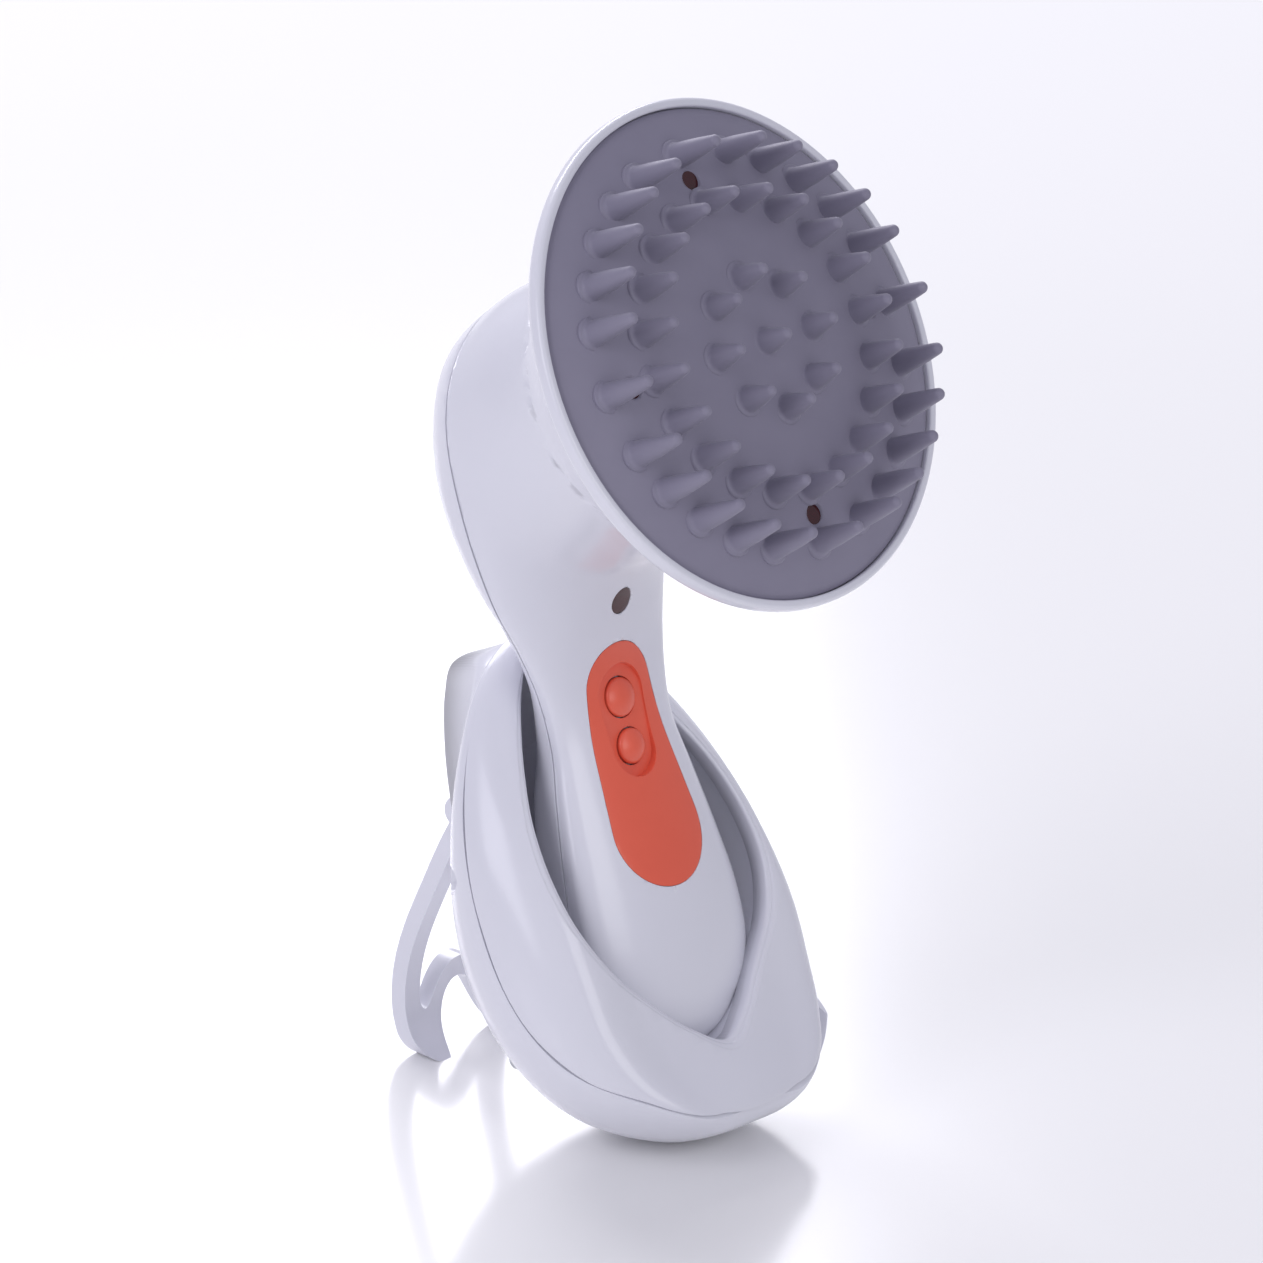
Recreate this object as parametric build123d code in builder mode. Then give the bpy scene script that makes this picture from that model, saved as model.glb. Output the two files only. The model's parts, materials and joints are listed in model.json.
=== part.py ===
"""Electric scalp massager standing in its cradle.

Millimetres and degrees. +Z is up, the massage pad faces -Y, and X = 0 is the plane of symmetry.
The origin lies on the ground, under the middle of the whole object.
Two slanted frames carry nearly all sizes. HANDLE has x across, y towards the back and z up along
the handle; HEAD has x across, y up along the pad and z out of the pad. Both start at the pad's centre.
"""

import os
from math import asin, cos, degrees, hypot, radians, sin, sqrt
from typing import NamedTuple

from build123d import *

os.makedirs("parts", exist_ok=True)

# ---- Stance -------------------------------------------------------------------------------------
HANDLE_LEAN = 20.5  # handle axis, back from upright
PAD_TILT = 31.8  # pad face, up from facing straight ahead
PAD_HEIGHT = 168.0  # centre of the pad's edge circle above the ground
PAD_FORWARD = 17.75  # the same centre, ahead of the object's middle

# ---- Shared fits --------------------------------------------------------------------------------
WALL = 2.4  # moulded housing walls
MOVING_GAP = 0.3  # between pieces that move past each other
SEAT_GAP = 0.05  # between pieces that sit in each other
RUNNING_GAP = 0.05  # radial, between a shaft and its bore

# ---- Massage head -------------------------------------------------------------------------------
PAD_RADIUS = 50.0
PAD_CROWN = 8.5  # rise of the domed pad face over its edge
PAD_SKIN = 3.0
RIM_WIDTH = 1.9  # white ring seen round the pad
RIM_PROUD = 0.8
PAD_LEDGE = 2.6  # seat of the pad below its edge circle
HORN_LENGTH = 30.0  # from the pad's edge plane back to where the handle shell starts

NUB_TIP_PLANE = 15.5  # all nub tips end in one plane, above the pad's edge circle
NUB_TIP_RADIUS = 1.25
NUB_BASE_RADIUS = 2.6
OUTER_RING = 40.2
OUTER_GROUP = 5  # nubs between two single nubs of the outer ring
OUTER_PITCH = 13.5
MIDDLE_RING = 29.6
MIDDLE_COUNT = 20
INNER_RING = 13.5
INNER_COUNT = 8

LAMP_RING = 34.7  # centres of the infrared lamps
LAMP_COUNT = 4
LAMP_HOLE_RADIUS = 2.15

# ---- Shell of head, neck and handle -------------------------------------------------------------


class Station(NamedTuple):
    """One cross-section: where it meets the front and the back outline, and how wide it is."""

    front: tuple[float, float]  # HANDLE y and z
    back: tuple[float, float]
    half_width: float
    widest: float  # share of the way from front to back


PARTING_DEPTH = 58.5  # HANDLE y of the split between front housing and rear cover

NECK_RADIUS = 29.0  # where the horn turns into the handle shell
SHELL_STATIONS = [
    Station((34.5, -38.0), (56.5, 16.8), 27.6, 0.52),
    Station((41.8, -41.5), (69.6, 8.5), 27.0, 0.52),
    Station((46.0, -46.5), (75.4, -8.0), 26.0, 0.47),
    Station((48.8, -52.0), (74.4, -25.5), 23.6, 0.40),
    Station((51.0, -58.5), (70.0, -42.5), 19.8, 0.32),
    Station((52.1, -65.5), (68.4, -57.5), 17.2, 0.26),
    Station((52.1, -73.0), (71.2, -71.5), 16.5, 0.24),
    Station((50.7, -84.0), (75.4, -84.0), 18.4, 0.24),
    Station((48.7, -98.0), (77.2, -98.0), 20.7, 0.26),
    Station((47.4, -111.0), (77.0, -111.0), 22.0, 0.27),
    Station((47.4, -122.0), (75.4, -122.0), 21.2, 0.28),
    Station((48.4, -130.5), (72.6, -130.5), 17.8, 0.30),
    Station((50.2, -136.0), (69.2, -136.0), 12.8, 0.35),
    Station((53.6, -139.0), (65.4, -139.0), 6.8, 0.40),
]
HANDLE_END = SHELL_STATIONS[-1].front[1]

# ---- Controls on the front of the handle ----------------------------------------------------------
PANEL_THICKNESS = 1.6
PANEL_TOP = (-64.7, 9.2)  # HANDLE z and radius of the panel's round ends
PANEL_BOTTOM = (-93.7, 12.2)
DISH_DEPTH = 0.9  # recess round the buttons
DISH_TOP = (-66.2, 6.3)
DISH_BOTTOM = (-77.4, 5.8)
POWER_BUTTON = (-66.8, 4.0)  # HANDLE z and radius
MODE_BUTTON = (-76.9, 3.6)
POWER_FACE = 52.1  # HANDLE y of the panel's surface at each button
MODE_FACE = 51.8
BUTTON_PROUD = 0.7  # crown over the panel's surface
BUTTON_DOME = 1.1
BUTTON_TRAVEL = 0.6
INDICATOR = (-47.3, 2.6, 2.5)  # HANDLE z, half width and half height

BUTTON_FLANGE = 4.7
FLANGE_RECESS = 54.5  # HANDLE y of the flat that holds the buttons' flanges
BUTTON_STEM = 1.6
DISH_FLOOR = 52.95  # HANDLE y of the dish's flat floor

# ---- Boards, battery and screws in the handle -------------------------------------------------------
BOARD_FACE = 60.2  # HANDLE y of the control board's front
BOARD_THICKNESS = 1.6
BOARD_HALF_WIDTH = 9.5
BOARD_TOP = -43.0
BOARD_BOTTOM = -90.0
BOARD_SCREWS = [(-6.5, -50.0), (6.5, -50.0), (-6.5, -86.5), (6.5, -86.5)]
BOARD_SCREW_RADIUS = 0.9
BOARD_POST_RADIUS = 2.2
SWITCH_SIZE = 6.0
SWITCH_HEIGHT = 1.8
SWITCH_KNOB = (1.2, 0.6)  # radius and height
CELL_RADIUS = 8.2
CELL_LENGTH = 34.0
CELL_MIDDLE = -110.8
CELL_DEPTH = 61.7
TRAY_WALL = 1.5
CLIP_THICKNESS = 0.8
SCREW_RADIUS = 1.2
SCREW_LENGTH = 8.0  # thread below the seat
SCREW_HEAD = (2.5, 1.5)  # radius and height
BOSS_RADIUS = 3.0
HOUSING_SEAT = 66.0  # HANDLE y of the screw heads' seats
HOUSING_SCREW_LENGTH = 5.5  # thread in the front housing
HEAD_BOSS = (15.0, -8.0)  # X and HANDLE z
GRIP_BOSS = (14.0, -101.0)
HOUSING_SCREWS = [(side * spot[0], spot[1]) for spot in (HEAD_BOSS, GRIP_BOSS) for side in (-1, 1)]
GROOVE_DEPTH = 0.5
GROOVE_WIDTH = 0.4
CONTACT = (3.4, 56.2, 1.6)  # X, HANDLE y and radius of the charging contacts
CONTACT_SPOTS = [(-CONTACT[0], CONTACT[1]), (CONTACT[0], CONTACT[1])]

# ---- Pad carrier, lamps and motor -------------------------------------------------------------------
CARRIER_SEAT = -2.6
CARRIER_FLANGE_TOP = -1.4
CARRIER_WALL = 2.2
CARRIER_SCREW_SEAT = 0.9
CARRIER_RADIUS = 46.5
CARRIER_SCREW_RING = 38.0
CARRIER_POST_RADIUS = 3.0
BOARD_SEAT = -6.6  # HEAD z of the lamp board's back
LAMP_BOARD_INNER = 26.0
LAMP_BOARD_OUTER = 41.6
BRACKET_PLATE_BACK = -17.0
BRACKET_PLATE = 2.0
BRACKET_RADIUS = 27.6
BRACKET_SCREW_RING = 24.3
BRACKET_POST_RADIUS = 3.0
SLEEVE_WALL = 2.0
SLEEVE_LENGTH = 20.0
MOTOR_RADIUS = 12.0
MOTOR_LENGTH = 28.0
SHAFT_RADIUS = 1.15
SHAFT_TIP = -6.5  # HEAD z
SHAFT_LENGTH = 24.0
WEIGHT_RADIUS = 10.5
WEIGHT_FRONT = -7.6
WEIGHT_LENGTH = 6.2

# ---- Cradle ---------------------------------------------------------------------------------------


class Slice(NamedTuple):
    """One cross-section of the cradle, square to the handle axis."""

    height: float  # HANDLE z
    front: float  # HANDLE y of front, widest and back
    widest: float
    back: float
    half_width: float
    corner: float  # width of the rounded front corner


CRADLE_SLICES = [
    Slice(-157.4, 52.0, 55.0, 58.5, 4.6, 3.0),
    Slice(-155.6, 42.7, 53.0, 64.8, 13.1, 8.0),
    Slice(-152.5, 38.4, 53.5, 69.9, 20.4, 10.0),
    Slice(-147.5, 39.1, 55.5, 75.8, 27.8, 11.0),
    Slice(-140.0, 42.6, 58.5, 81.8, 33.6, 11.0),
    Slice(-130.0, 45.6, 62.0, 88.0, 36.8, 11.0),
    Slice(-118.0, 47.1, 65.0, 92.2, 37.9, 11.0),
    Slice(-105.0, 49.9, 67.5, 92.4, 37.4, 11.0),
    Slice(-92.0, 54.1, 69.0, 88.9, 35.7, 11.0),
    Slice(-80.0, 59.0, 70.5, 84.2, 32.2, 10.0),
    Slice(-68.0, 63.7, 71.8, 80.2, 25.9, 9.0),
    Slice(-58.0, 67.7, 72.8, 76.9, 17.8, 7.0),
    Slice(-53.2, 70.0, 73.1, 75.6, 10.4, 4.5),
    Slice(-51.0, 71.6, 73.2, 74.8, 4.6, 2.0),
]
CRADLE_WALL = 2.4
BOSS_COVER = 0.8  # of the wall, between a boss and the outer face
SEAM_GAP = 0.25
# Side outline of the seam between the two cradle shells, in HANDLE y and z.
SEAM = [
    (73.5, -44.0),
    (70.3, -77.0),
    (67.8, -103.0),
    (61.5, -124.0),
    (51.5, -137.6),
    (42.2, -145.5),
    (38.4, -150.8),
    (36.0, -160.0),
]
UPPER_JOINTS = [(-32.4, -95.0), (32.4, -95.0)]  # X and HANDLE z of the screws that join the shells
LOWER_JOINTS = [(-28.0, -133.0), (28.0, -133.0)]
UPPER_SCREW = (72.0, 61.0)  # HANDLE y of seat and tip
UPPER_BOSS_RADIUS = 2.3  # in the back shell, between the cup and the wall
LOWER_SCREW = (73.5, 49.6)

CUP_WALL = 2.2
CUP_FLOOR = -139.8
CUP_ROUND = (28.8, 66.0, 78.4)  # half width of the cup's round back, and HANDLE y of its start and middle
# Side outline of the cup's back, in HANDLE y and z.
CUP_BACK = [
    (68.0, -142.5),
    (71.0, -136.6),
    (74.2, -131.5),
    (77.2, -122.0),
    (78.4, -111.0),
    (78.3, -98.0),
    (76.8, -84.0),
    (74.6, -72.0),
    (71.8, -61.0),
    (70.6, -52.0),
]
# The mouth in the front face, narrower at its foot than the cup behind its lip.
MOUTH_FLOOR = -138.0
MOUTH_TOP = -54.8
MOUTH_SIDE = [
    (7.6, -133.9),
    (15.3, -126.5),
    (22.9, -117.8),
    (27.5, -107.2),
    (28.2, -97.5),
    (26.3, -86.7),
    (22.3, -77.3),
    (17.1, -68.3),
    (11.8, -61.2),
    (6.4, -56.4),
]
MOUTH_REACH = 90.0  # HANDLE y past the cup's back
CUP_REACH = 40.0
CUP_RISE = 95.0
LIP_BACK = 49.4  # HANDLE y behind the lip
POCKET_SIDE = [
    (7.0, -139.5),
    (12.9, -136.6),
    (18.9, -131.5),
    (22.6, -123.0),
    (22.4, -115.5),
    (15.0, -110.0),
]
POCKET_TOP = -108.5
MOUTH_FILLET = 1.5

CHARGE_BOARD = (22.0, 16.0, 58.0)  # across, deep and HANDLE y of the middle
CHARGE_BOARD_TOP = -143.4
CHARGE_PIN_RADIUS = 1.2
SOCKET = (-146.6, 4.0, 2.8, 1.0)  # HANDLE z, outer, bore and pin radius
SOCKET_REACH = (66.6, 76.4)

# ---- Kickstand ------------------------------------------------------------------------------------
STRAP_THICKNESS = 3.8
ARM_CENTRE = 13.5  # half the distance between the arms
ARM_WIDTH = 4.4
ARM_TOP = 75.0
PIVOT = (86.0, -84.0)  # HANDLE y and z
EYE_RADIUS = 3.4
ROD_RADIUS = 1.2
# Middle line of the bent strap in HANDLE y and z.
STRAP = [
    PIVOT,
    (95.2, -91.8),
    (102.3, -99.3),
    (109.0, -106.6),
    (114.7, -114.2),
    (118.2, -121.6),
    (119.2, -129.0),
    (117.4, -134.6),
    (113.4, -139.6),
]
# Half of the loop seen from the front, in X and height above the ground.
FOOT_OUTLINE = [(9.6, 0.0), (7.9, 2.2), (4.6, 9.4), (0.0, 13.0)]
BAR_OUTLINE = [(0.0, 17.5), (4.0, 15.9), (7.4, 11.0), (9.8, 8.6), (11.3, 11.2)]
HINGE_BLOCK = (7.5, 19.5, 80.8)  # inner and outer X, HANDLE y of its front
KNUCKLE_RADIUS = 3.2
HINGE_HEIGHTS = (-97.0, -77.0)
SLOT_FLOOR = 83.4
SLOT_END = -99.0

# ---- Frames ---------------------------------------------------------------------------------------
PAD_CENTRE = Vector(0, -PAD_FORWARD, PAD_HEIGHT)
HANDLE = Plane(PAD_CENTRE, x_dir=(1, 0, 0), z_dir=(0, sin(radians(HANDLE_LEAN)), cos(radians(HANDLE_LEAN))))
HEAD = Plane(PAD_CENTRE, x_dir=(1, 0, 0), z_dir=(0, -cos(radians(PAD_TILT)), sin(radians(PAD_TILT))))
SIDE = Plane(PAD_CENTRE, x_dir=HANDLE.y_dir, z_dir=(1, 0, 0))  # x is HANDLE y, y is HANDLE z
ARM_SIDES = [SIDE.offset(side * ARM_CENTRE - ARM_WIDTH / 2) for side in (-1, 1)]  # left side of each arm
HEAD_TURN = radians(PAD_TILT - HANDLE_LEAN)  # angle between the two frames


def from_head(rise, ahead):
    """Turn a point of the symmetry plane from HEAD y and z into HANDLE y and z."""
    return (rise * sin(HEAD_TURN) - ahead * cos(HEAD_TURN), rise * cos(HEAD_TURN) + ahead * sin(HEAD_TURN))


HEAD_START = Station(from_head(-NECK_RADIUS, -HORN_LENGTH), from_head(NECK_RADIUS, -HORN_LENGTH), NECK_RADIUS, 0.5)
BODY_STATIONS = [HEAD_START, *SHELL_STATIONS]

HEAD_SECTION = Plane(PAD_CENTRE, x_dir=(1, 0, 0), z_dir=-HEAD.y_dir)  # x is the radius, y is HEAD z
HEAD_AXIS = Axis(PAD_CENTRE, HEAD.z_dir)
FRONTWARDS = Plane(PAD_CENTRE, x_dir=(-1, 0, 0), z_dir=HANDLE.y_dir)  # x is -X, y is HANDLE z, z is HANDLE y


def facing(depth):
    """Plane square to HANDLE y, at that depth, with local x = X mirrored and local y = HANDLE z."""
    return FRONTWARDS.offset(depth)


def shell_section(station, inset):
    """Sketch one egg-shaped cross-section of the massager, shrunk by inset."""
    front = HANDLE.from_local_coords((0, *station.front))
    back = HANDLE.from_local_coords((0, *station.back))
    across = back - front
    middle = across.length * station.widest
    half = station.half_width - inset
    with BuildSketch(Plane(front, x_dir=(1, 0, 0), z_dir=Vector(1, 0, 0).cross(across))) as section:
        with BuildLine():
            EllipticalCenterArc((0, middle), half, across.length - middle - inset, start_angle=0, arc_size=180)
            EllipticalCenterArc((0, middle), half, middle - inset, start_angle=180, arc_size=180)
        make_face()
    return section.sketch


def shell_sections(inset, stations):
    """List the cross-sections of the massager, shrunk by inset."""
    return [shell_section(station, inset) for station in stations]


def tapered_slot(depth, top, bottom, grow):
    """Sketch a slot at that HANDLE y, with round ends of different radii; each end is (height, radius)."""
    top_height, top_radius = top[0], top[1] + grow
    bottom_height, bottom_radius = bottom[0], bottom[1] + grow
    slope = (bottom_radius - top_radius) / (top_height - bottom_height)
    side = sqrt(1 - slope * slope)
    upper = (top_radius * side, top_height + top_radius * slope)
    lower = (bottom_radius * side, bottom_height + bottom_radius * slope)
    with BuildSketch(facing(depth)) as slot:
        with BuildLine():
            Line(lower, upper)
            ThreePointArc(upper, (0, top_height + top_radius), (-upper[0], upper[1]))
            Line((-upper[0], upper[1]), (-lower[0], lower[1]))
            ThreePointArc((-lower[0], lower[1]), (0, bottom_height - bottom_radius), lower)
        make_face()
    return slot.sketch


# ---- Outer and inner form of the massager ---------------------------------------------------------
RECESS_RADIUS = PAD_RADIUS + 0.15
RIM_RADIUS = RECESS_RADIUS + RIM_WIDTH
LEDGE_RADIUS = PAD_RADIUS - 5.0

with BuildPart() as body_outer:
    with BuildSketch(HEAD_SECTION):
        with BuildLine():
            Line((0, RIM_PROUD), (0, -HORN_LENGTH))
            Line((0, -HORN_LENGTH), (NECK_RADIUS, -HORN_LENGTH))
            Spline(
                (NECK_RADIUS, -HORN_LENGTH),
                (31.8, -23.5),
                (36.6, -16.8),
                (43.0, -10.0),
                (48.4, -5.6),
                (RIM_RADIUS - 0.5, -2.6),
                tangents=((0.10, 1.0), (1.0, 0.75)),
            )
            Line((RIM_RADIUS - 0.5, -2.6), (RIM_RADIUS, -1.7))
            Line((RIM_RADIUS, -1.7), (RIM_RADIUS, -RIM_WIDTH / 2 + RIM_PROUD))
            ThreePointArc(
                (RIM_RADIUS, -RIM_WIDTH / 2 + RIM_PROUD),
                (RIM_RADIUS - 0.293 * RIM_WIDTH / 2, RIM_PROUD - 0.293 * RIM_WIDTH / 2),
                (RIM_RADIUS - RIM_WIDTH / 2, RIM_PROUD),
            )
            Line((RIM_RADIUS - RIM_WIDTH / 2, RIM_PROUD), (0, RIM_PROUD))
        make_face()
    revolve(axis=HEAD_AXIS)
    loft(shell_sections(0, BODY_STATIONS))

with BuildPart() as body_cavity:
    with BuildSketch(HEAD_SECTION):
        with BuildLine():
            Line((0, 2), (0, -HORN_LENGTH))
            Line((0, -HORN_LENGTH), (NECK_RADIUS - WALL, -HORN_LENGTH))
            Spline(
                (NECK_RADIUS - WALL, -HORN_LENGTH),
                (29.4, -22.9),
                (34.4, -15.6),
                (40.8, -8.9),
                (LEDGE_RADIUS, -5.7),
                tangents=((0.10, 1.0), (1.0, 0.75)),
            )
            Line((LEDGE_RADIUS, -5.7), (LEDGE_RADIUS, 2))
            Line((LEDGE_RADIUS, 2), (0, 2))
        make_face()
    revolve(axis=HEAD_AXIS)
    loft(shell_sections(WALL, BODY_STATIONS[:-1]))

with BuildPart() as panel_base:
    loft(shell_sections(PANEL_THICKNESS, BODY_STATIONS))

with BuildPart() as groove_base:
    loft(shell_sections(GROOVE_DEPTH, BODY_STATIONS))

with BuildPart() as panel_pocket:
    extrude(tapered_slot(30, PANEL_TOP, PANEL_BOTTOM, 0), amount=28)
    add(panel_base.part, mode=Mode.SUBTRACT)

# Everything in front of the parting plane, as a block.
with BuildPart() as front_half:
    with BuildSketch(facing(-70)):
        Rectangle(140, 340)
    extrude(amount=PARTING_DEPTH + 70)

with BuildPart() as parting_groove:
    with BuildSketch(facing(PARTING_DEPTH)):
        Rectangle(140, 340)
    extrude(amount=GROOVE_WIDTH / 2, both=True)
    add(groove_base.part, mode=Mode.SUBTRACT)


def head_places(radius, count, first=0.0, depth=0.0):
    """Places on a ring round the head's axis, at that HEAD z; the first angle is from HEAD x."""
    angles = [radians(first + 360 * step / count) for step in range(count)]
    return [HEAD * Location((radius * cos(angle), radius * sin(angle), depth)) for angle in angles]


def dome_height(radius, crown, edge_radius, edge_height=0.0):
    """HEAD z of a spherical dome at that radius."""
    sphere = (edge_radius**2 + crown**2) / (2 * crown)
    return edge_height + crown - sphere + sqrt(sphere**2 - radius**2)


# ---- Front housing --------------------------------------------------------------------------------
carrier_posts = head_places(CARRIER_SCREW_RING, 4, 45, CARRIER_SEAT)
bracket_posts = head_places(BRACKET_SCREW_RING, 3, 90, BRACKET_PLATE_BACK)

# Posts and bosses end inside the wall, at this form.
with BuildPart() as post_limit:
    with BuildSketch(HEAD_SECTION):
        with BuildLine():
            Polyline((NECK_RADIUS - GROOVE_DEPTH, -HORN_LENGTH), (0, -HORN_LENGTH), (0, 2), (48, 2), (48, -5.2))
            Spline((48, -5.2), (42.6, -9.7), (36.2, -16.5), (31.3, -23.4), (NECK_RADIUS - GROOVE_DEPTH, -HORN_LENGTH))
        make_face()
    revolve(axis=HEAD_AXIS)
    add(groove_base.part)

with BuildPart() as post_forms:
    with BuildSketch(*[Plane(place) for place in carrier_posts]):
        Circle(CARRIER_POST_RADIUS)
    extrude(amount=-16)
    with BuildSketch(*[Plane(place).offset(BOARD_SEAT - CARRIER_SEAT) for place in carrier_posts]):
        Circle(CARRIER_POST_RADIUS + 1.0)
    extrude(amount=-12)
    with BuildSketch(*[Plane(place) for place in bracket_posts]):
        Circle(BRACKET_POST_RADIUS)
    extrude(amount=-15)
    with BuildSketch(facing(45)):
        with Locations(*[(side * HEAD_BOSS[0], HEAD_BOSS[1]) for side in (-1, 1)]):
            Circle(BOSS_RADIUS)
        with Locations(*[(side * (HEAD_BOSS[0] + 6), HEAD_BOSS[1]) for side in (-1, 1)]):
            Rectangle(12, 1.6)
    extrude(amount=PARTING_DEPTH - 45)
    with BuildSketch(facing(40)):
        with Locations(*[(side * GRIP_BOSS[0], GRIP_BOSS[1]) for side in (-1, 1)]):
            Circle(BOSS_RADIUS)
    extrude(amount=PARTING_DEPTH - 40)
    with BuildSketch(facing(40)):
        with Locations(*BOARD_SCREWS):
            Circle(BOARD_POST_RADIUS)
    extrude(amount=BOARD_FACE - 40)
    with BuildSketch(facing(40)):
        with Locations((0, CELL_MIDDLE - CELL_LENGTH / 4), (0, CELL_MIDDLE + CELL_LENGTH / 4)):
            Rectangle(8, 3)
    extrude(amount=CELL_DEPTH - CELL_RADIUS - TRAY_WALL - 40)
    add(post_limit.part, mode=Mode.INTERSECT)

with BuildPart() as front_housing:
    add(body_outer.part)
    add(body_cavity.part, mode=Mode.SUBTRACT)
    add(front_half.part, mode=Mode.INTERSECT)
    with BuildSketch(HEAD.offset(-PAD_LEDGE)):
        Circle(RECESS_RADIUS)
    extrude(amount=20, mode=Mode.SUBTRACT)
    add(post_forms.part)
    with BuildSketch(HEAD.offset(CARRIER_SEAT)):
        Circle(LEDGE_RADIUS)
    extrude(amount=20, mode=Mode.SUBTRACT)
    add(parting_groove.part, mode=Mode.SUBTRACT)
    # Bores for the screws that end in this housing.
    with BuildSketch(*[Plane(place) for place in carrier_posts]):
        Circle(SCREW_RADIUS + SEAT_GAP)
    extrude(amount=-SCREW_LENGTH, mode=Mode.SUBTRACT)
    with BuildSketch(*[Plane(place) for place in bracket_posts]):
        Circle(SCREW_RADIUS + SEAT_GAP)
    extrude(amount=-SCREW_LENGTH, mode=Mode.SUBTRACT)
    with BuildSketch(facing(PARTING_DEPTH)):
        with Locations(*HOUSING_SCREWS):
            Circle(SCREW_RADIUS + SEAT_GAP)
    extrude(amount=-HOUSING_SCREW_LENGTH, mode=Mode.SUBTRACT)
    with BuildSketch(facing(BOARD_FACE)):
        with Locations(*BOARD_SCREWS):
            Circle(BOARD_SCREW_RADIUS + SEAT_GAP)
    extrude(amount=-5, mode=Mode.SUBTRACT)
    # Pocket of the control panel, then the holes for buttons, indicator and contacts.
    add(panel_pocket.part, mode=Mode.SUBTRACT)
    with BuildSketch(facing(40)):
        with Locations((0, POWER_BUTTON[0])):
            Circle(POWER_BUTTON[1] + MOVING_GAP)
        with Locations((0, MODE_BUTTON[0])):
            Circle(MODE_BUTTON[1] + MOVING_GAP)
        with Locations((0, INDICATOR[0])):
            Ellipse(INDICATOR[1] + SEAT_GAP, INDICATOR[2] + SEAT_GAP)
    extrude(amount=16, mode=Mode.SUBTRACT)
    with BuildSketch(facing(FLANGE_RECESS)):
        with Locations((0, POWER_BUTTON[0]), (0, MODE_BUTTON[0])):
            Circle(BUTTON_FLANGE + MOVING_GAP)
    extrude(amount=3, mode=Mode.SUBTRACT)
    with BuildSketch(HANDLE.offset(HANDLE_END)):
        with Locations(*CONTACT_SPOTS):
            Circle(CONTACT[2] + SEAT_GAP)
    extrude(amount=5, mode=Mode.SUBTRACT)
front_housing.part.label = "front_housing"
export_step(front_housing.part, "parts/front_housing.step")

# ---- Rear cover -----------------------------------------------------------------------------------
with BuildPart() as rear_bosses:
    with BuildSketch(facing(PARTING_DEPTH)):
        with Locations(*HOUSING_SCREWS):
            Circle(BOSS_RADIUS)
    extrude(amount=22)
    with BuildSketch(facing(HOUSING_SEAT - 2)):
        with Locations(*HOUSING_SCREWS):
            Circle(BOSS_RADIUS + 2)
    extrude(amount=16)
    add(post_limit.part, mode=Mode.INTERSECT)

with BuildPart() as rear_cover:
    add(body_outer.part)
    add(body_cavity.part, mode=Mode.SUBTRACT)
    add(rear_bosses.part)
    add(front_half.part, mode=Mode.SUBTRACT)
    add(parting_groove.part, mode=Mode.SUBTRACT)
    with BuildSketch(facing(PARTING_DEPTH)):
        with Locations(*HOUSING_SCREWS):
            Circle(SCREW_RADIUS + SEAT_GAP)
    extrude(amount=20, mode=Mode.SUBTRACT)
    with BuildSketch(facing(HOUSING_SEAT)):
        with Locations(*HOUSING_SCREWS):
            Circle(SCREW_HEAD[0] + 0.3)
    extrude(amount=20, mode=Mode.SUBTRACT)
rear_cover.part.label = "rear_cover"
export_step(rear_cover.part, "parts/rear_cover.step")

with BuildPart() as housing_screws:
    with BuildSketch(facing(HOUSING_SEAT)):
        with Locations(*HOUSING_SCREWS):
            Circle(SCREW_HEAD[0])
    extrude(amount=SCREW_HEAD[1])
    with BuildSketch(facing(HOUSING_SEAT)):
        with Locations(*HOUSING_SCREWS):
            Circle(SCREW_RADIUS)
    extrude(amount=PARTING_DEPTH - HOUSING_SCREW_LENGTH + 0.5 - HOUSING_SEAT)
    with BuildSketch(facing(HOUSING_SEAT + SCREW_HEAD[1])):
        with Locations(*HOUSING_SCREWS):
            Rectangle(3.2, 0.8)
            Rectangle(0.8, 3.2)
    extrude(amount=-0.8, mode=Mode.SUBTRACT)
housing_screws.part.label = "housing_screws"
export_step(housing_screws.part, "parts/housing_screws.step")

# ---- Massage pad ----------------------------------------------------------------------------------


def pad_height(radius):
    """HEAD z of the pad's outer dome."""
    return dome_height(radius, PAD_CROWN, PAD_RADIUS)


def dome_arc(crown, end_radius, start_radius=0.0):
    """Draw the pad's dome arc in HEAD_SECTION with its top at crown, between two radii."""
    sphere = (PAD_RADIUS**2 + PAD_CROWN**2) / (2 * PAD_CROWN)
    start = degrees(asin(start_radius / sphere))
    end = degrees(asin(end_radius / sphere))
    return CenterArc((0, crown - sphere), sphere, 90 - end, end - start)


def nub_sketch(ring_radius):
    """Half outline of one nub, from just inside the dome up to the shared tip plane."""
    foot = pad_height(ring_radius)
    crown = NUB_TIP_PLANE - NUB_TIP_RADIUS
    with BuildSketch(HEAD_SECTION) as outline:
        with BuildLine():
            Line((0, NUB_TIP_PLANE), (0, foot - 1.2))
            Line((0, foot - 1.2), (NUB_BASE_RADIUS + 0.9, foot - 1.2))
            Line((NUB_BASE_RADIUS + 0.9, foot - 1.2), (NUB_BASE_RADIUS + 0.55, foot))
            Line((NUB_BASE_RADIUS + 0.55, foot), (NUB_BASE_RADIUS - 0.25, foot + 1.2))
            Line((NUB_BASE_RADIUS - 0.25, foot + 1.2), (NUB_TIP_RADIUS, crown))
            CenterArc((0, crown), NUB_TIP_RADIUS, 0, 90)
        make_face()
    return outline.sketch


def ring_spots(radius, angles):
    """Moves from the head's axis to the given angles of a ring, keeping the head's own slant."""
    return [Location(HEAD.x_dir * radius * cos(radians(a)) + HEAD.y_dir * radius * sin(radians(a))) for a in angles]


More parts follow.
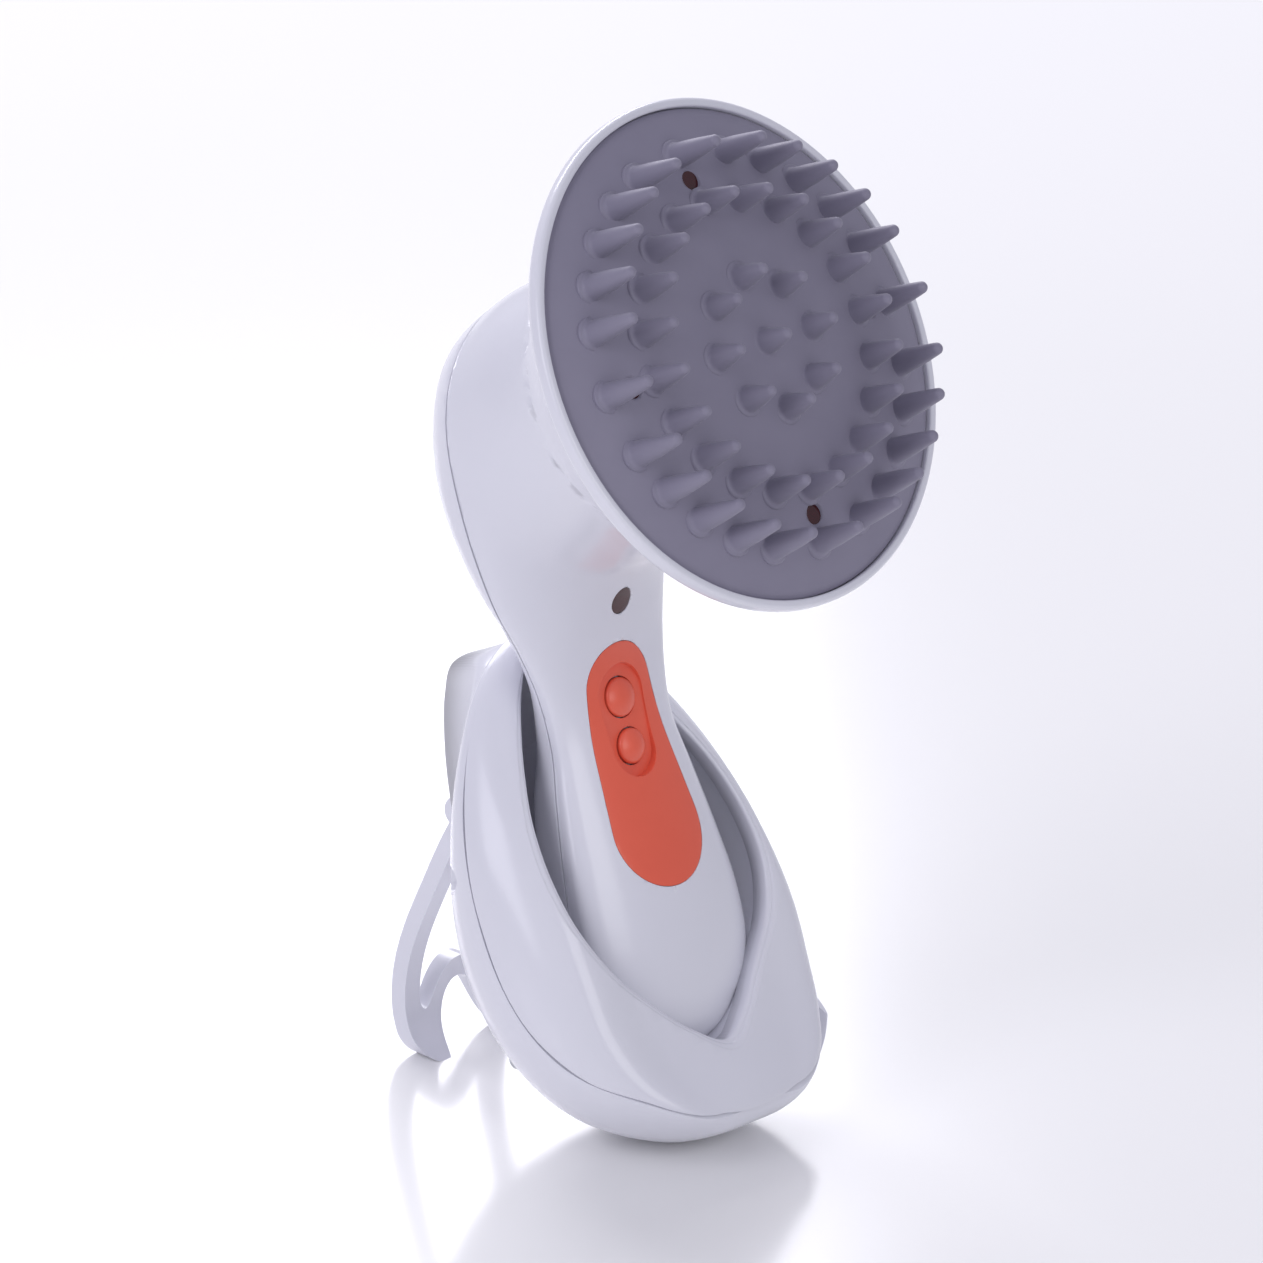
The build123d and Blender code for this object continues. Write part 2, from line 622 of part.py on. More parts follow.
outer_angles = [90 * quarter for quarter in range(4)]
for quarter in range(4):
    for step in range(OUTER_GROUP):
        outer_angles.append(90 * quarter + 45 + OUTER_PITCH * (step - (OUTER_GROUP - 1) / 2))
nub_rings = [
    (OUTER_RING, outer_angles),
    (MIDDLE_RING, [360 * step / MIDDLE_COUNT for step in range(MIDDLE_COUNT)]),
    (INNER_RING, [360 * step / INNER_COUNT for step in range(INNER_COUNT)]),
]
nubs = []
for ring_radius, ring_angles in nub_rings:
    with BuildPart() as nub:
        revolve(nub_sketch(ring_radius), axis=HEAD_AXIS)
    nubs += [nub.part.moved(spot) for spot in ring_spots(ring_radius, ring_angles)]

with BuildPart() as massage_pad:
    with BuildSketch(HEAD_SECTION):
        with BuildLine():
            # The middle nub stands on the axis, so it is part of the pad's own outline.
            CenterArc((0, NUB_TIP_PLANE - NUB_TIP_RADIUS), NUB_TIP_RADIUS, 0, 90)
            Polyline(
                (NUB_TIP_RADIUS, NUB_TIP_PLANE - NUB_TIP_RADIUS),
                (NUB_BASE_RADIUS - 0.25, PAD_CROWN + 1.2),
                (NUB_BASE_RADIUS + 0.55, pad_height(NUB_BASE_RADIUS + 0.55)),
            )
            add(dome_arc(PAD_CROWN, 49.3, NUB_BASE_RADIUS + 0.55))
            ThreePointArc((49.3, pad_height(49.3)), (49.82, -0.12), (PAD_RADIUS, -0.7))
            Line((PAD_RADIUS, -0.7), (PAD_RADIUS, CARRIER_SEAT))
            Line((PAD_RADIUS, CARRIER_SEAT), (CARRIER_RADIUS + SEAT_GAP, CARRIER_SEAT))
            Line((CARRIER_RADIUS + SEAT_GAP, CARRIER_SEAT), (CARRIER_RADIUS + SEAT_GAP, CARRIER_FLANGE_TOP))
            Line((CARRIER_RADIUS + SEAT_GAP, CARRIER_FLANGE_TOP), (44, CARRIER_FLANGE_TOP))
            Line((44, CARRIER_FLANGE_TOP), (44, pad_height(44) - PAD_SKIN))
            add(dome_arc(PAD_CROWN - PAD_SKIN, 44))
            Line((0, PAD_CROWN - PAD_SKIN), (0, NUB_TIP_PLANE))
        make_face()
    revolve(axis=HEAD_AXIS)
    add(nubs)
    with BuildSketch(HEAD.offset(-5)):
        with PolarLocations(LAMP_RING, LAMP_COUNT):
            Circle(LAMP_HOLE_RADIUS)
    extrude(amount=20, mode=Mode.SUBTRACT)
massage_pad.part.label = "massage_pad"
export_step(massage_pad.part, "parts/massage_pad.step")

carrier_shoulder = pad_height(44 - SEAT_GAP) - PAD_SKIN - SEAT_GAP
with BuildPart() as pad_carrier:
    with BuildSketch(HEAD_SECTION):
        with BuildLine():
            Line((0, PAD_CROWN - PAD_SKIN - SEAT_GAP), (0, PAD_CROWN - PAD_SKIN - CARRIER_WALL))
            add(dome_arc(PAD_CROWN - PAD_SKIN - CARRIER_WALL, 32))
            Line((32, pad_height(32) - PAD_SKIN - CARRIER_WALL), (33, CARRIER_SEAT))
            Line((33, CARRIER_SEAT), (CARRIER_RADIUS, CARRIER_SEAT))
            Line((CARRIER_RADIUS, CARRIER_SEAT), (CARRIER_RADIUS, CARRIER_FLANGE_TOP - SEAT_GAP))
            Line((CARRIER_RADIUS, CARRIER_FLANGE_TOP - SEAT_GAP), (44 - SEAT_GAP, CARRIER_FLANGE_TOP - SEAT_GAP))
            Line((44 - SEAT_GAP, CARRIER_FLANGE_TOP - SEAT_GAP), (44 - SEAT_GAP, carrier_shoulder))
            add(dome_arc(PAD_CROWN - PAD_SKIN - SEAT_GAP, 44 - SEAT_GAP))
        make_face()
    revolve(axis=HEAD_AXIS)
    with BuildSketch(HEAD.offset(CARRIER_SEAT)):
        with PolarLocations(LAMP_RING, LAMP_COUNT):
            Circle(LAMP_HOLE_RADIUS)
        with PolarLocations(CARRIER_SCREW_RING, 4, 45):
            Circle(SCREW_RADIUS + SEAT_GAP)
    extrude(amount=20, mode=Mode.SUBTRACT)
    with BuildSketch(HEAD.offset(CARRIER_SEAT + CARRIER_SCREW_SEAT)):
        with PolarLocations(CARRIER_SCREW_RING, 4, 45):
            Circle(SCREW_HEAD[0] + 0.3)
    extrude(amount=20, mode=Mode.SUBTRACT)
pad_carrier.part.label = "pad_carrier"
export_step(pad_carrier.part, "parts/pad_carrier.step")

with BuildPart() as carrier_screws:
    with BuildSketch(HEAD.offset(CARRIER_SEAT + CARRIER_SCREW_SEAT)):
        with PolarLocations(CARRIER_SCREW_RING, 4, 45):
            Circle(SCREW_HEAD[0])
    extrude(amount=SCREW_HEAD[1])
    with BuildSketch(HEAD.offset(CARRIER_SEAT + CARRIER_SCREW_SEAT)):
        with PolarLocations(CARRIER_SCREW_RING, 4, 45):
            Circle(SCREW_RADIUS)
    extrude(amount=-SCREW_LENGTH)
carrier_screws.part.label = "carrier_screws"
export_step(carrier_screws.part, "parts/carrier_screws.step")

# ---- Lamps ----------------------------------------------------------------------------------------
LENS_TOP = pad_height(LAMP_RING) - 0.5
with BuildPart() as lamp_lenses:
    with BuildSketch(HEAD.offset(CARRIER_SEAT)):
        with PolarLocations(LAMP_RING, LAMP_COUNT):
            Circle(LAMP_HOLE_RADIUS - SEAT_GAP)
    extrude(amount=LENS_TOP - CARRIER_SEAT)
lamp_lenses.part.label = "lamp_lenses"
export_step(lamp_lenses.part, "parts/lamp_lenses.step")

with BuildPart() as lamp_board:
    with BuildSketch(HEAD.offset(BOARD_SEAT)):
        Circle(LAMP_BOARD_OUTER)
        Circle(LAMP_BOARD_INNER, mode=Mode.SUBTRACT)
        with PolarLocations(CARRIER_SCREW_RING, 4, 45):
            Circle(CARRIER_POST_RADIUS + 2 * SEAT_GAP, mode=Mode.SUBTRACT)
    extrude(amount=BOARD_THICKNESS)
lamp_board.part.label = "lamp_board"
export_step(lamp_board.part, "parts/lamp_board.step")

LED_TOP = CARRIER_SEAT - 0.2
with BuildPart() as lamp_leds:
    with BuildSketch(HEAD.offset(BOARD_SEAT + BOARD_THICKNESS)):
        with PolarLocations(LAMP_RING, LAMP_COUNT):
            Circle(1.9)
    extrude(amount=0.8)
    with BuildSketch(HEAD.offset(BOARD_SEAT + BOARD_THICKNESS + 0.8)):
        with PolarLocations(LAMP_RING, LAMP_COUNT):
            Circle(1.5)
    extrude(amount=LED_TOP - BOARD_SEAT - BOARD_THICKNESS - 0.8)
lamp_leds.part.label = "lamp_leds"
export_step(lamp_leds.part, "parts/lamp_leds.step")

# ---- Motor ----------------------------------------------------------------------------------------
PLATE_FRONT = BRACKET_PLATE_BACK + BRACKET_PLATE
with BuildPart() as motor_bracket:
    with BuildSketch(HEAD.offset(BRACKET_PLATE_BACK)):
        Circle(BRACKET_RADIUS)
        Circle(6, mode=Mode.SUBTRACT)
        with PolarLocations(BRACKET_SCREW_RING, 3, 90):
            Circle(SCREW_RADIUS + SEAT_GAP, mode=Mode.SUBTRACT)
        with PolarLocations(20, 3, 30):
            Circle(3.5, mode=Mode.SUBTRACT)
    extrude(amount=BRACKET_PLATE)
    with BuildSketch(HEAD.offset(BRACKET_PLATE_BACK)):
        Circle(MOTOR_RADIUS + SEAT_GAP + SLEEVE_WALL)
        Circle(MOTOR_RADIUS + SEAT_GAP, mode=Mode.SUBTRACT)
    extrude(amount=-SLEEVE_LENGTH)
motor_bracket.part.label = "motor_bracket"
export_step(motor_bracket.part, "parts/motor_bracket.step")

with BuildPart() as bracket_screws:
    with BuildSketch(HEAD.offset(PLATE_FRONT)):
        with PolarLocations(BRACKET_SCREW_RING, 3, 90):
            Circle(SCREW_HEAD[0])
    extrude(amount=SCREW_HEAD[1])
    with BuildSketch(HEAD.offset(PLATE_FRONT)):
        with PolarLocations(BRACKET_SCREW_RING, 3, 90):
            Circle(SCREW_RADIUS)
    extrude(amount=-SCREW_LENGTH)
bracket_screws.part.label = "bracket_screws"
export_step(bracket_screws.part, "parts/bracket_screws.step")

with BuildPart() as motor:
    with BuildSketch(HEAD.offset(BRACKET_PLATE_BACK)):
        Circle(MOTOR_RADIUS)
    extrude(amount=-MOTOR_LENGTH)
    with BuildSketch(HEAD.offset(BRACKET_PLATE_BACK)):
        Circle(3.5)
    extrude(amount=1.2)
    with BuildSketch(HEAD.offset(BRACKET_PLATE_BACK - MOTOR_LENGTH)):
        Circle(3.5)
        with Locations((-7.5, 0), (7.5, 0)):
            Rectangle(0.8, 3)
    extrude(amount=-2.5)
    with BuildSketch(HEAD.offset(SHAFT_TIP)):
        Circle(SHAFT_RADIUS + RUNNING_GAP)
    extrude(amount=-SHAFT_LENGTH - 0.1, mode=Mode.SUBTRACT)
motor.part.label = "motor"
export_step(motor.part, "parts/motor.step")

with BuildPart() as motor_shaft:
    with BuildSketch(HEAD.offset(SHAFT_TIP)):
        Circle(SHAFT_RADIUS)
    extrude(amount=-SHAFT_LENGTH)
motor_shaft.part.label = "motor_shaft"
export_step(motor_shaft.part, "parts/motor_shaft.step")

with BuildPart() as eccentric_weight:
    with BuildSketch(HEAD.offset(WEIGHT_FRONT)):
        Circle(WEIGHT_RADIUS)
        with Locations((0, WEIGHT_RADIUS / 2 + 0.5)):
            Rectangle(2 * WEIGHT_RADIUS + 1, WEIGHT_RADIUS, mode=Mode.SUBTRACT)
        Circle(3.2)
        Circle(SHAFT_RADIUS, mode=Mode.SUBTRACT)
    extrude(amount=-WEIGHT_LENGTH)
eccentric_weight.part.label = "eccentric_weight"
export_step(eccentric_weight.part, "parts/eccentric_weight.step")

# ---- Control panel, buttons and indicator -----------------------------------------------------------
with BuildPart() as control_panel:
    extrude(tapered_slot(30, PANEL_TOP, PANEL_BOTTOM, -SEAT_GAP), amount=28)
    add(body_outer.part, mode=Mode.INTERSECT)
    add(panel_base.part, mode=Mode.SUBTRACT)
    extrude(tapered_slot(DISH_FLOOR, DISH_TOP, DISH_BOTTOM, 0), amount=-20, mode=Mode.SUBTRACT)
    with BuildSketch(facing(40)):
        with Locations((0, POWER_BUTTON[0])):
            Circle(POWER_BUTTON[1] + MOVING_GAP)
        with Locations((0, MODE_BUTTON[0])):
            Circle(MODE_BUTTON[1] + MOVING_GAP)
    extrude(amount=16, mode=Mode.SUBTRACT)
control_panel.part.label = "control_panel"
export_step(control_panel.part, "parts/control_panel.step")


def button_outline(height, radius, face):
    """Half outline of a domed push button with its retaining flange and stem."""
    crown = face - BUTTON_PROUD
    stem_end = BOARD_FACE - SWITCH_HEIGHT - SWITCH_KNOB[1] - BUTTON_TRAVEL - 0.1
    flange = FLANGE_RECESS + MOVING_GAP
    shoulder = (radius - 0.3, crown + BUTTON_DOME)
    with BuildSketch(HANDLE.offset(height)) as outline:
        with BuildLine():
            Line((0, stem_end), (0, crown))
            ThreePointArc((0, crown), (0.6 * radius, crown + 0.3 * BUTTON_DOME), shoulder)
            Line(shoulder, (radius, crown + BUTTON_DOME + 0.4))
            Line((radius, crown + BUTTON_DOME + 0.4), (radius, flange))
            Line((radius, flange), (BUTTON_FLANGE, flange))
            Line((BUTTON_FLANGE, flange), (BUTTON_FLANGE, flange + 0.8))
            Line((BUTTON_FLANGE, flange + 0.8), (BUTTON_STEM, flange + 0.8))
            Line((BUTTON_STEM, flange + 0.8), (BUTTON_STEM, stem_end))
            Line((BUTTON_STEM, stem_end), (0, stem_end))
        make_face()
    return outline.sketch


with BuildPart() as power_button:
    axis = Axis(HANDLE.from_local_coords((0, 0, POWER_BUTTON[0])), HANDLE.y_dir)
    revolve(button_outline(*POWER_BUTTON, POWER_FACE), axis=axis)
power_button.part.label = "power_button"
export_step(power_button.part, "parts/power_button.step")

with BuildPart() as mode_button:
    axis = Axis(HANDLE.from_local_coords((0, 0, MODE_BUTTON[0])), HANDLE.y_dir)
    revolve(button_outline(*MODE_BUTTON, MODE_FACE), axis=axis)
mode_button.part.label = "mode_button"
export_step(mode_button.part, "parts/mode_button.step")

with BuildPart() as indicator_window:
    with BuildSketch(facing(40)):
        with Locations((0, INDICATOR[0])):
            Ellipse(INDICATOR[1], INDICATOR[2])
    extrude(amount=17.5)
    add(body_outer.part, mode=Mode.INTERSECT)
indicator_window.part.label = "indicator_window"
export_step(indicator_window.part, "parts/indicator_window.step")

with BuildPart() as indicator_led:
    with BuildSketch(facing(BOARD_FACE)):
        with Locations((0, INDICATOR[0])):
            Rectangle(3.0, 2.0)
    extrude(amount=-1.2)
indicator_led.part.label = "indicator_led"
export_step(indicator_led.part, "parts/indicator_led.step")

# ---- Electronics in the handle ----------------------------------------------------------------------
with BuildPart() as control_board:
    with BuildSketch(facing(BOARD_FACE)):
        with Locations((0, (BOARD_TOP + BOARD_BOTTOM) / 2)):
            RectangleRounded(2 * BOARD_HALF_WIDTH, BOARD_TOP - BOARD_BOTTOM, 2)
        with Locations(*BOARD_SCREWS):
            Circle(BOARD_SCREW_RADIUS + SEAT_GAP, mode=Mode.SUBTRACT)
    extrude(amount=BOARD_THICKNESS)
control_board.part.label = "control_board"
export_step(control_board.part, "parts/control_board.step")

with BuildPart() as board_screws:
    with BuildSketch(facing(BOARD_FACE + BOARD_THICKNESS)):
        with Locations(*BOARD_SCREWS):
            Circle(1.8)
    extrude(amount=1.2)
    with BuildSketch(facing(BOARD_FACE + BOARD_THICKNESS)):
        with Locations(*BOARD_SCREWS):
            Circle(BOARD_SCREW_RADIUS)
    extrude(amount=-BOARD_THICKNESS - 4.5)
board_screws.part.label = "board_screws"
export_step(board_screws.part, "parts/board_screws.step")

with BuildPart() as tact_switches:
    with BuildSketch(facing(BOARD_FACE)):
        with Locations((0, POWER_BUTTON[0]), (0, MODE_BUTTON[0])):
            Rectangle(SWITCH_SIZE, SWITCH_SIZE)
    extrude(amount=-SWITCH_HEIGHT)
    with BuildSketch(facing(BOARD_FACE - SWITCH_HEIGHT)):
        with Locations((0, POWER_BUTTON[0]), (0, MODE_BUTTON[0])):
            Circle(SWITCH_KNOB[0])
    extrude(amount=-SWITCH_KNOB[1])
tact_switches.part.label = "tact_switches"
export_step(tact_switches.part, "parts/tact_switches.step")

CELL_BOTTOM = CELL_MIDDLE - CELL_LENGTH / 2
CELL_TOP = CELL_MIDDLE + CELL_LENGTH / 2
with BuildPart() as battery_cell:
    with BuildSketch(HANDLE.offset(CELL_BOTTOM)):
        with Locations((0, CELL_DEPTH)):
            Circle(CELL_RADIUS)
    extrude(amount=CELL_LENGTH - 1)
    with BuildSketch(HANDLE.offset(CELL_TOP - 1)):
        with Locations((0, CELL_DEPTH)):
            Circle(3)
    extrude(amount=1)
battery_cell.part.label = "battery_cell"
export_step(battery_cell.part, "parts/battery_cell.step")

with BuildPart() as battery_tray:
    with BuildSketch(HANDLE.offset(CELL_BOTTOM - CLIP_THICKNESS - TRAY_WALL)):
        with Locations((0, CELL_DEPTH)):
            Circle(CELL_RADIUS + TRAY_WALL)
    extrude(amount=CELL_LENGTH + 2 * CLIP_THICKNESS + 2 * TRAY_WALL)
    with BuildSketch(HANDLE.offset(CELL_BOTTOM - CLIP_THICKNESS)):
        with Locations((0, CELL_DEPTH)):
            Circle(CELL_RADIUS + SEAT_GAP)
    extrude(amount=CELL_LENGTH + 2 * CLIP_THICKNESS, mode=Mode.SUBTRACT)
    with BuildSketch(facing(CELL_DEPTH)):
        with Locations((0, CELL_MIDDLE)):
            Rectangle(30, 60)
    extrude(amount=20, mode=Mode.SUBTRACT)
battery_tray.part.label = "battery_tray"
export_step(battery_tray.part, "parts/battery_tray.step")

with BuildPart() as battery_clips:
    with BuildSketch(HANDLE.offset(CELL_BOTTOM - CLIP_THICKNESS)):
        with Locations((0, CELL_DEPTH + 1)):
            RectangleRounded(9, 9, 1)
    extrude(amount=CLIP_THICKNESS)
    with BuildSketch(HANDLE.offset(CELL_TOP)):
        with Locations((0, CELL_DEPTH + 1)):
            RectangleRounded(9, 9, 1)
    extrude(amount=CLIP_THICKNESS)
battery_clips.part.label = "battery_clips"
export_step(battery_clips.part, "parts/battery_clips.step")

with BuildPart() as charge_contacts:
    with BuildSketch(HANDLE.offset(HANDLE_END)):
        with Locations(*CONTACT_SPOTS):
            Circle(CONTACT[2])
    extrude(amount=4.2)
charge_contacts.part.label = "charge_contacts"
export_step(charge_contacts.part, "parts/charge_contacts.step")

# ---- Cradle forms ---------------------------------------------------------------------------------


def cradle_section(cut, inset):
    """Sketch one cross-section of the cradle, shrunk by inset."""
    half = cut.half_width - inset
    corner = max(cut.corner - inset, 1.0)
    front = cut.front + inset
    depth = cut.widest - front
    inner = half - corner
    right = [(0.7 * inner, front)]
    for angle in (25, 55):
        right.append((inner + corner * sin(radians(angle)), cut.widest - depth * cos(radians(angle))))
    right.append((half, cut.widest))
    left = [(-across, ahead) for across, ahead in reversed(right)]
    with BuildSketch(HANDLE.offset(cut.height)) as section:
        with BuildLine():
            EllipticalCenterArc((0, cut.widest), half, cut.back - inset - cut.widest, start_angle=0, arc_size=180)
            Spline(*left, *right, tangents=((0, -1), (0, 1)))
        make_face()
    return section.sketch


def opening_sketch(depth, side, floor, top, grow):
    """Sketch a rounded opening at that HANDLE y: the right side of its outline from the foot up, mirrored and grown."""
    right = [(across + grow, height) for across, height in side]
    left = [(-across, height) for across, height in reversed(right)]
    with BuildSketch(facing(depth)) as opening:
        with BuildLine():
            Spline((0, floor - grow), *right, (0, top + grow), *left, periodic=True)
        make_face()
    return opening.sketch


def mouth_sketch(grow):
    """Sketch the cup's mouth."""
    return opening_sketch(0, MOUTH_SIDE, MOUTH_FLOOR, MOUTH_TOP, grow)


def pocket_sketch(grow):
    """Sketch the room for the handle's end behind the mouth's lip."""
    return opening_sketch(LIP_BACK - grow, POCKET_SIDE, CUP_FLOOR, POCKET_TOP, grow)


with BuildPart() as cradle_outer:
    loft([cradle_section(cut, 0) for cut in CRADLE_SLICES])
    with BuildSketch(Plane.XY):
        Rectangle(200, 300)
    extrude(amount=-20, mode=Mode.SUBTRACT)

# Bosses end inside the wall, at this form.
with BuildPart() as cradle_skin:
    loft([cradle_section(cut, BOSS_COVER) for cut in CRADLE_SLICES[1:-1]])
    with BuildSketch(Plane.XY.offset(BOSS_COVER)):
        Rectangle(200, 300)
    extrude(amount=-20, mode=Mode.SUBTRACT)

with BuildPart() as cradle_cavity:
    loft([cradle_section(cut, CRADLE_WALL) for cut in CRADLE_SLICES[2:-2]])

with BuildPart() as cradle_core:
    loft([cradle_section(cut, CRADLE_WALL + MOVING_GAP) for cut in CRADLE_SLICES[2:-2]])

with BuildPart() as seam_front:
    with BuildSketch(SIDE):
        with BuildLine():
            Spline(*SEAM)
            Polyline(SEAM[-1], (-40, -160), (-40, -40), SEAM[0])
        make_face()
    extrude(amount=60, both=True)

seam_shifted = seam_front.part.moved(Location(HANDLE.y_dir * SEAM_GAP))



def cup_outlines(grow):
    """Return the side and plan outlines that end the cup at its back, grown outward."""
    back = [(behind + grow, height) for behind, height in CUP_BACK]
    half_width, start, middle = CUP_ROUND
    half = half_width + grow
    with BuildSketch(SIDE) as side_outline:
        with BuildLine():
            Spline(*back)
            Polyline(back[-1], (10, back[-1][1]), (10, back[0][1]), back[0])
        make_face()
    with BuildSketch(HANDLE.offset(CUP_BACK[0][1])) as plan_outline:
        with BuildLine():
            EllipticalCenterArc((0, start), half, middle + grow - start, start_angle=0, arc_size=180)
            Polyline((-half, start), (-half, 10), (half, 10), (half, start))
        make_face()
    return side_outline.sketch, plan_outline.sketch


with BuildPart() as cup_void:
    side_outline, plan_outline = cup_outlines(0)
    extrude(mouth_sketch(0), amount=MOUTH_REACH)
    extrude(pocket_sketch(0), amount=MOUTH_REACH - LIP_BACK)
    extrude(side_outline, amount=CUP_REACH, both=True, mode=Mode.INTERSECT)
    extrude(plan_outline, amount=CUP_RISE, mode=Mode.INTERSECT)

with BuildPart() as cup_body:
    side_outline, plan_outline = cup_outlines(CUP_WALL)
    extrude(mouth_sketch(CUP_WALL), amount=MOUTH_REACH)
    extrude(pocket_sketch(CUP_WALL), amount=MOUTH_REACH - LIP_BACK + CUP_WALL)
    extrude(side_outline, amount=CUP_REACH, both=True, mode=Mode.INTERSECT)
    extrude(plan_outline, amount=CUP_RISE, mode=Mode.INTERSECT)
    with BuildSketch(HANDLE.offset(CUP_FLOOR - CUP_WALL)):
        with Locations((0, 65.5)):
            Rectangle(17, 11)
    extrude(amount=4)

with BuildPart() as cradle_hollow:
    add(cradle_cavity.part)
    add(cup_body.part, mode=Mode.SUBTRACT)

with BuildPart() as cup_tub:
    add(cup_body.part)
    add(cradle_core.part, mode=Mode.INTERSECT)
    add(cup_void.part, mode=Mode.SUBTRACT)

# ---- Cradle front shell -----------------------------------------------------------------------------
with BuildPart() as front_fittings:
    with BuildSketch(facing(30)):
        with Locations(*UPPER_JOINTS, *LOWER_JOINTS):
            Circle(BOSS_RADIUS)
    extrude(amount=50)
    add(cradle_skin.part, mode=Mode.INTERSECT)
    add(seam_front.part, mode=Mode.INTERSECT)
    with BuildSketch(HANDLE.offset(CHARGE_BOARD_TOP)):
        with Locations((-8.5, 59), (8.5, 59)):
            Circle(2)
    extrude(amount=CUP_FLOOR + 1 - CHARGE_BOARD_TOP)

with BuildPart() as cradle_front:
    add(cradle_outer.part)
    add(seam_front.part, mode=Mode.INTERSECT)
    extrude(mouth_sketch(0), amount=MOUTH_REACH, mode=Mode.SUBTRACT)
    mouth_edge = cradle_front.edges().sort_by(SortBy.LENGTH)[-1]
    fillet(mouth_edge, MOUTH_FILLET)
    add(cradle_hollow.part, mode=Mode.SUBTRACT)
    add(cup_tub.part)
    add(front_fittings.part)
    add(cup_void.part, mode=Mode.SUBTRACT)
    with BuildSketch(facing(UPPER_SCREW[1])):
        with Locations(*UPPER_JOINTS):
            Circle(SCREW_RADIUS + SEAT_GAP)
    extrude(amount=20, mode=Mode.SUBTRACT)
    with BuildSketch(facing(LOWER_SCREW[1])):
        with Locations(*LOWER_JOINTS):
            Circle(SCREW_RADIUS + SEAT_GAP)
    extrude(amount=20, mode=Mode.SUBTRACT)
    with BuildSketch(HANDLE.offset(CHARGE_BOARD_TOP)):
        with Locations(*CONTACT_SPOTS):
            Circle(CHARGE_PIN_RADIUS + SEAT_GAP)
    extrude(amount=8, mode=Mode.SUBTRACT)
cradle_front.part.label = "cradle_front"
export_step(cradle_front.part, "parts/cradle_front.step")

# ---- Cradle back shell ------------------------------------------------------------------------------
hinge_sides = [(side * (HINGE_BLOCK[0] + HINGE_BLOCK[1]) / 2, sum(HINGE_HEIGHTS) / 2) for side in (-1, 1)]
with BuildPart() as back_fittings:
    with BuildSketch(facing(40)):
        with Locations(*UPPER_JOINTS):
            Circle(UPPER_BOSS_RADIUS)
        with Locations(*LOWER_JOINTS):
            Circle(BOSS_RADIUS)
    extrude(amount=60)
    with BuildSketch(facing(UPPER_SCREW[0] - 0.9)):
        with Locations(*UPPER_JOINTS):
            Circle(BOSS_RADIUS + 0.6)
    extrude(amount=20)
    with BuildSketch(facing(LOWER_SCREW[0] - 2)):
        with Locations(*LOWER_JOINTS):
            Circle(BOSS_RADIUS + 1.5)
    extrude(amount=20)
    with BuildSketch(facing(HINGE_BLOCK[2])):
        with Locations(*hinge_sides):
            Rectangle(HINGE_BLOCK[1] - HINGE_BLOCK[0], HINGE_HEIGHTS[1] - HINGE_HEIGHTS[0])
    extrude(amount=20)
    with BuildSketch(facing(SOCKET_REACH[1] - 5)):
        with Locations((0, SOCKET[0])):
            Circle(SOCKET[1] + 1.8)
    extrude(amount=20)
    add(cradle_skin.part, mode=Mode.INTERSECT)
    with BuildSketch(SIDE.offset(HINGE_BLOCK[0]), SIDE.offset(-HINGE_BLOCK[1])):
        with Locations(PIVOT):
            Circle(KNUCKLE_RADIUS)
    extrude(amount=HINGE_BLOCK[1] - HINGE_BLOCK[0])

with BuildPart() as back_holes:
    with BuildSketch(facing(42)):
        with Locations(*UPPER_JOINTS, *LOWER_JOINTS):
            Circle(SCREW_RADIUS + SEAT_GAP)
    extrude(amount=58)
    with BuildSketch(facing(UPPER_SCREW[0])):
        with Locations(*UPPER_JOINTS):
            Circle(SCREW_HEAD[0] + 0.3)
    extrude(amount=22)
    with BuildSketch(facing(LOWER_SCREW[0])):
        with Locations(*LOWER_JOINTS):
            Circle(SCREW_HEAD[0] + 0.3)
    extrude(amount=26)

with BuildPart() as hinge_slots:
    with BuildSketch(facing(SLOT_FLOOR)):
        with Locations(*[(side * ARM_CENTRE, (PIVOT[1] + SLOT_END) / 2) for side in (-1, 1)]):
            Rectangle(ARM_WIDTH + 2 * MOVING_GAP, PIVOT[1] - SLOT_END)
    extrude(amount=20)
    with BuildSketch(*[side.offset(-MOVING_GAP) for side in ARM_SIDES]):
        with Locations(PIVOT):
            Circle(EYE_RADIUS + MOVING_GAP + 0.1)
    extrude(amount=ARM_WIDTH + 2 * MOVING_GAP)

with BuildPart() as cradle_back:
    add(cradle_outer.part)
    add(cradle_cavity.part, mode=Mode.SUBTRACT)
    add(back_fittings.part)
    add(seam_shifted, mode=Mode.SUBTRACT)
    add(back_holes.part, mode=Mode.SUBTRACT)
    add(hinge_slots.part, mode=Mode.SUBTRACT)
    with BuildSketch(facing(SOCKET_REACH[0])):
        with Locations((0, SOCKET[0])):
            Circle(SOCKET[1] + SEAT_GAP)
    extrude(amount=20, mode=Mode.SUBTRACT)
    with BuildSketch(SIDE):
        with Locations(PIVOT):
            Circle(ROD_RADIUS + SEAT_GAP)
    extrude(amount=HINGE_BLOCK[1] - 0.6, both=True, mode=Mode.SUBTRACT)
cradle_back.part.label = "cradle_back"
export_step(cradle_back.part, "parts/cradle_back.step")

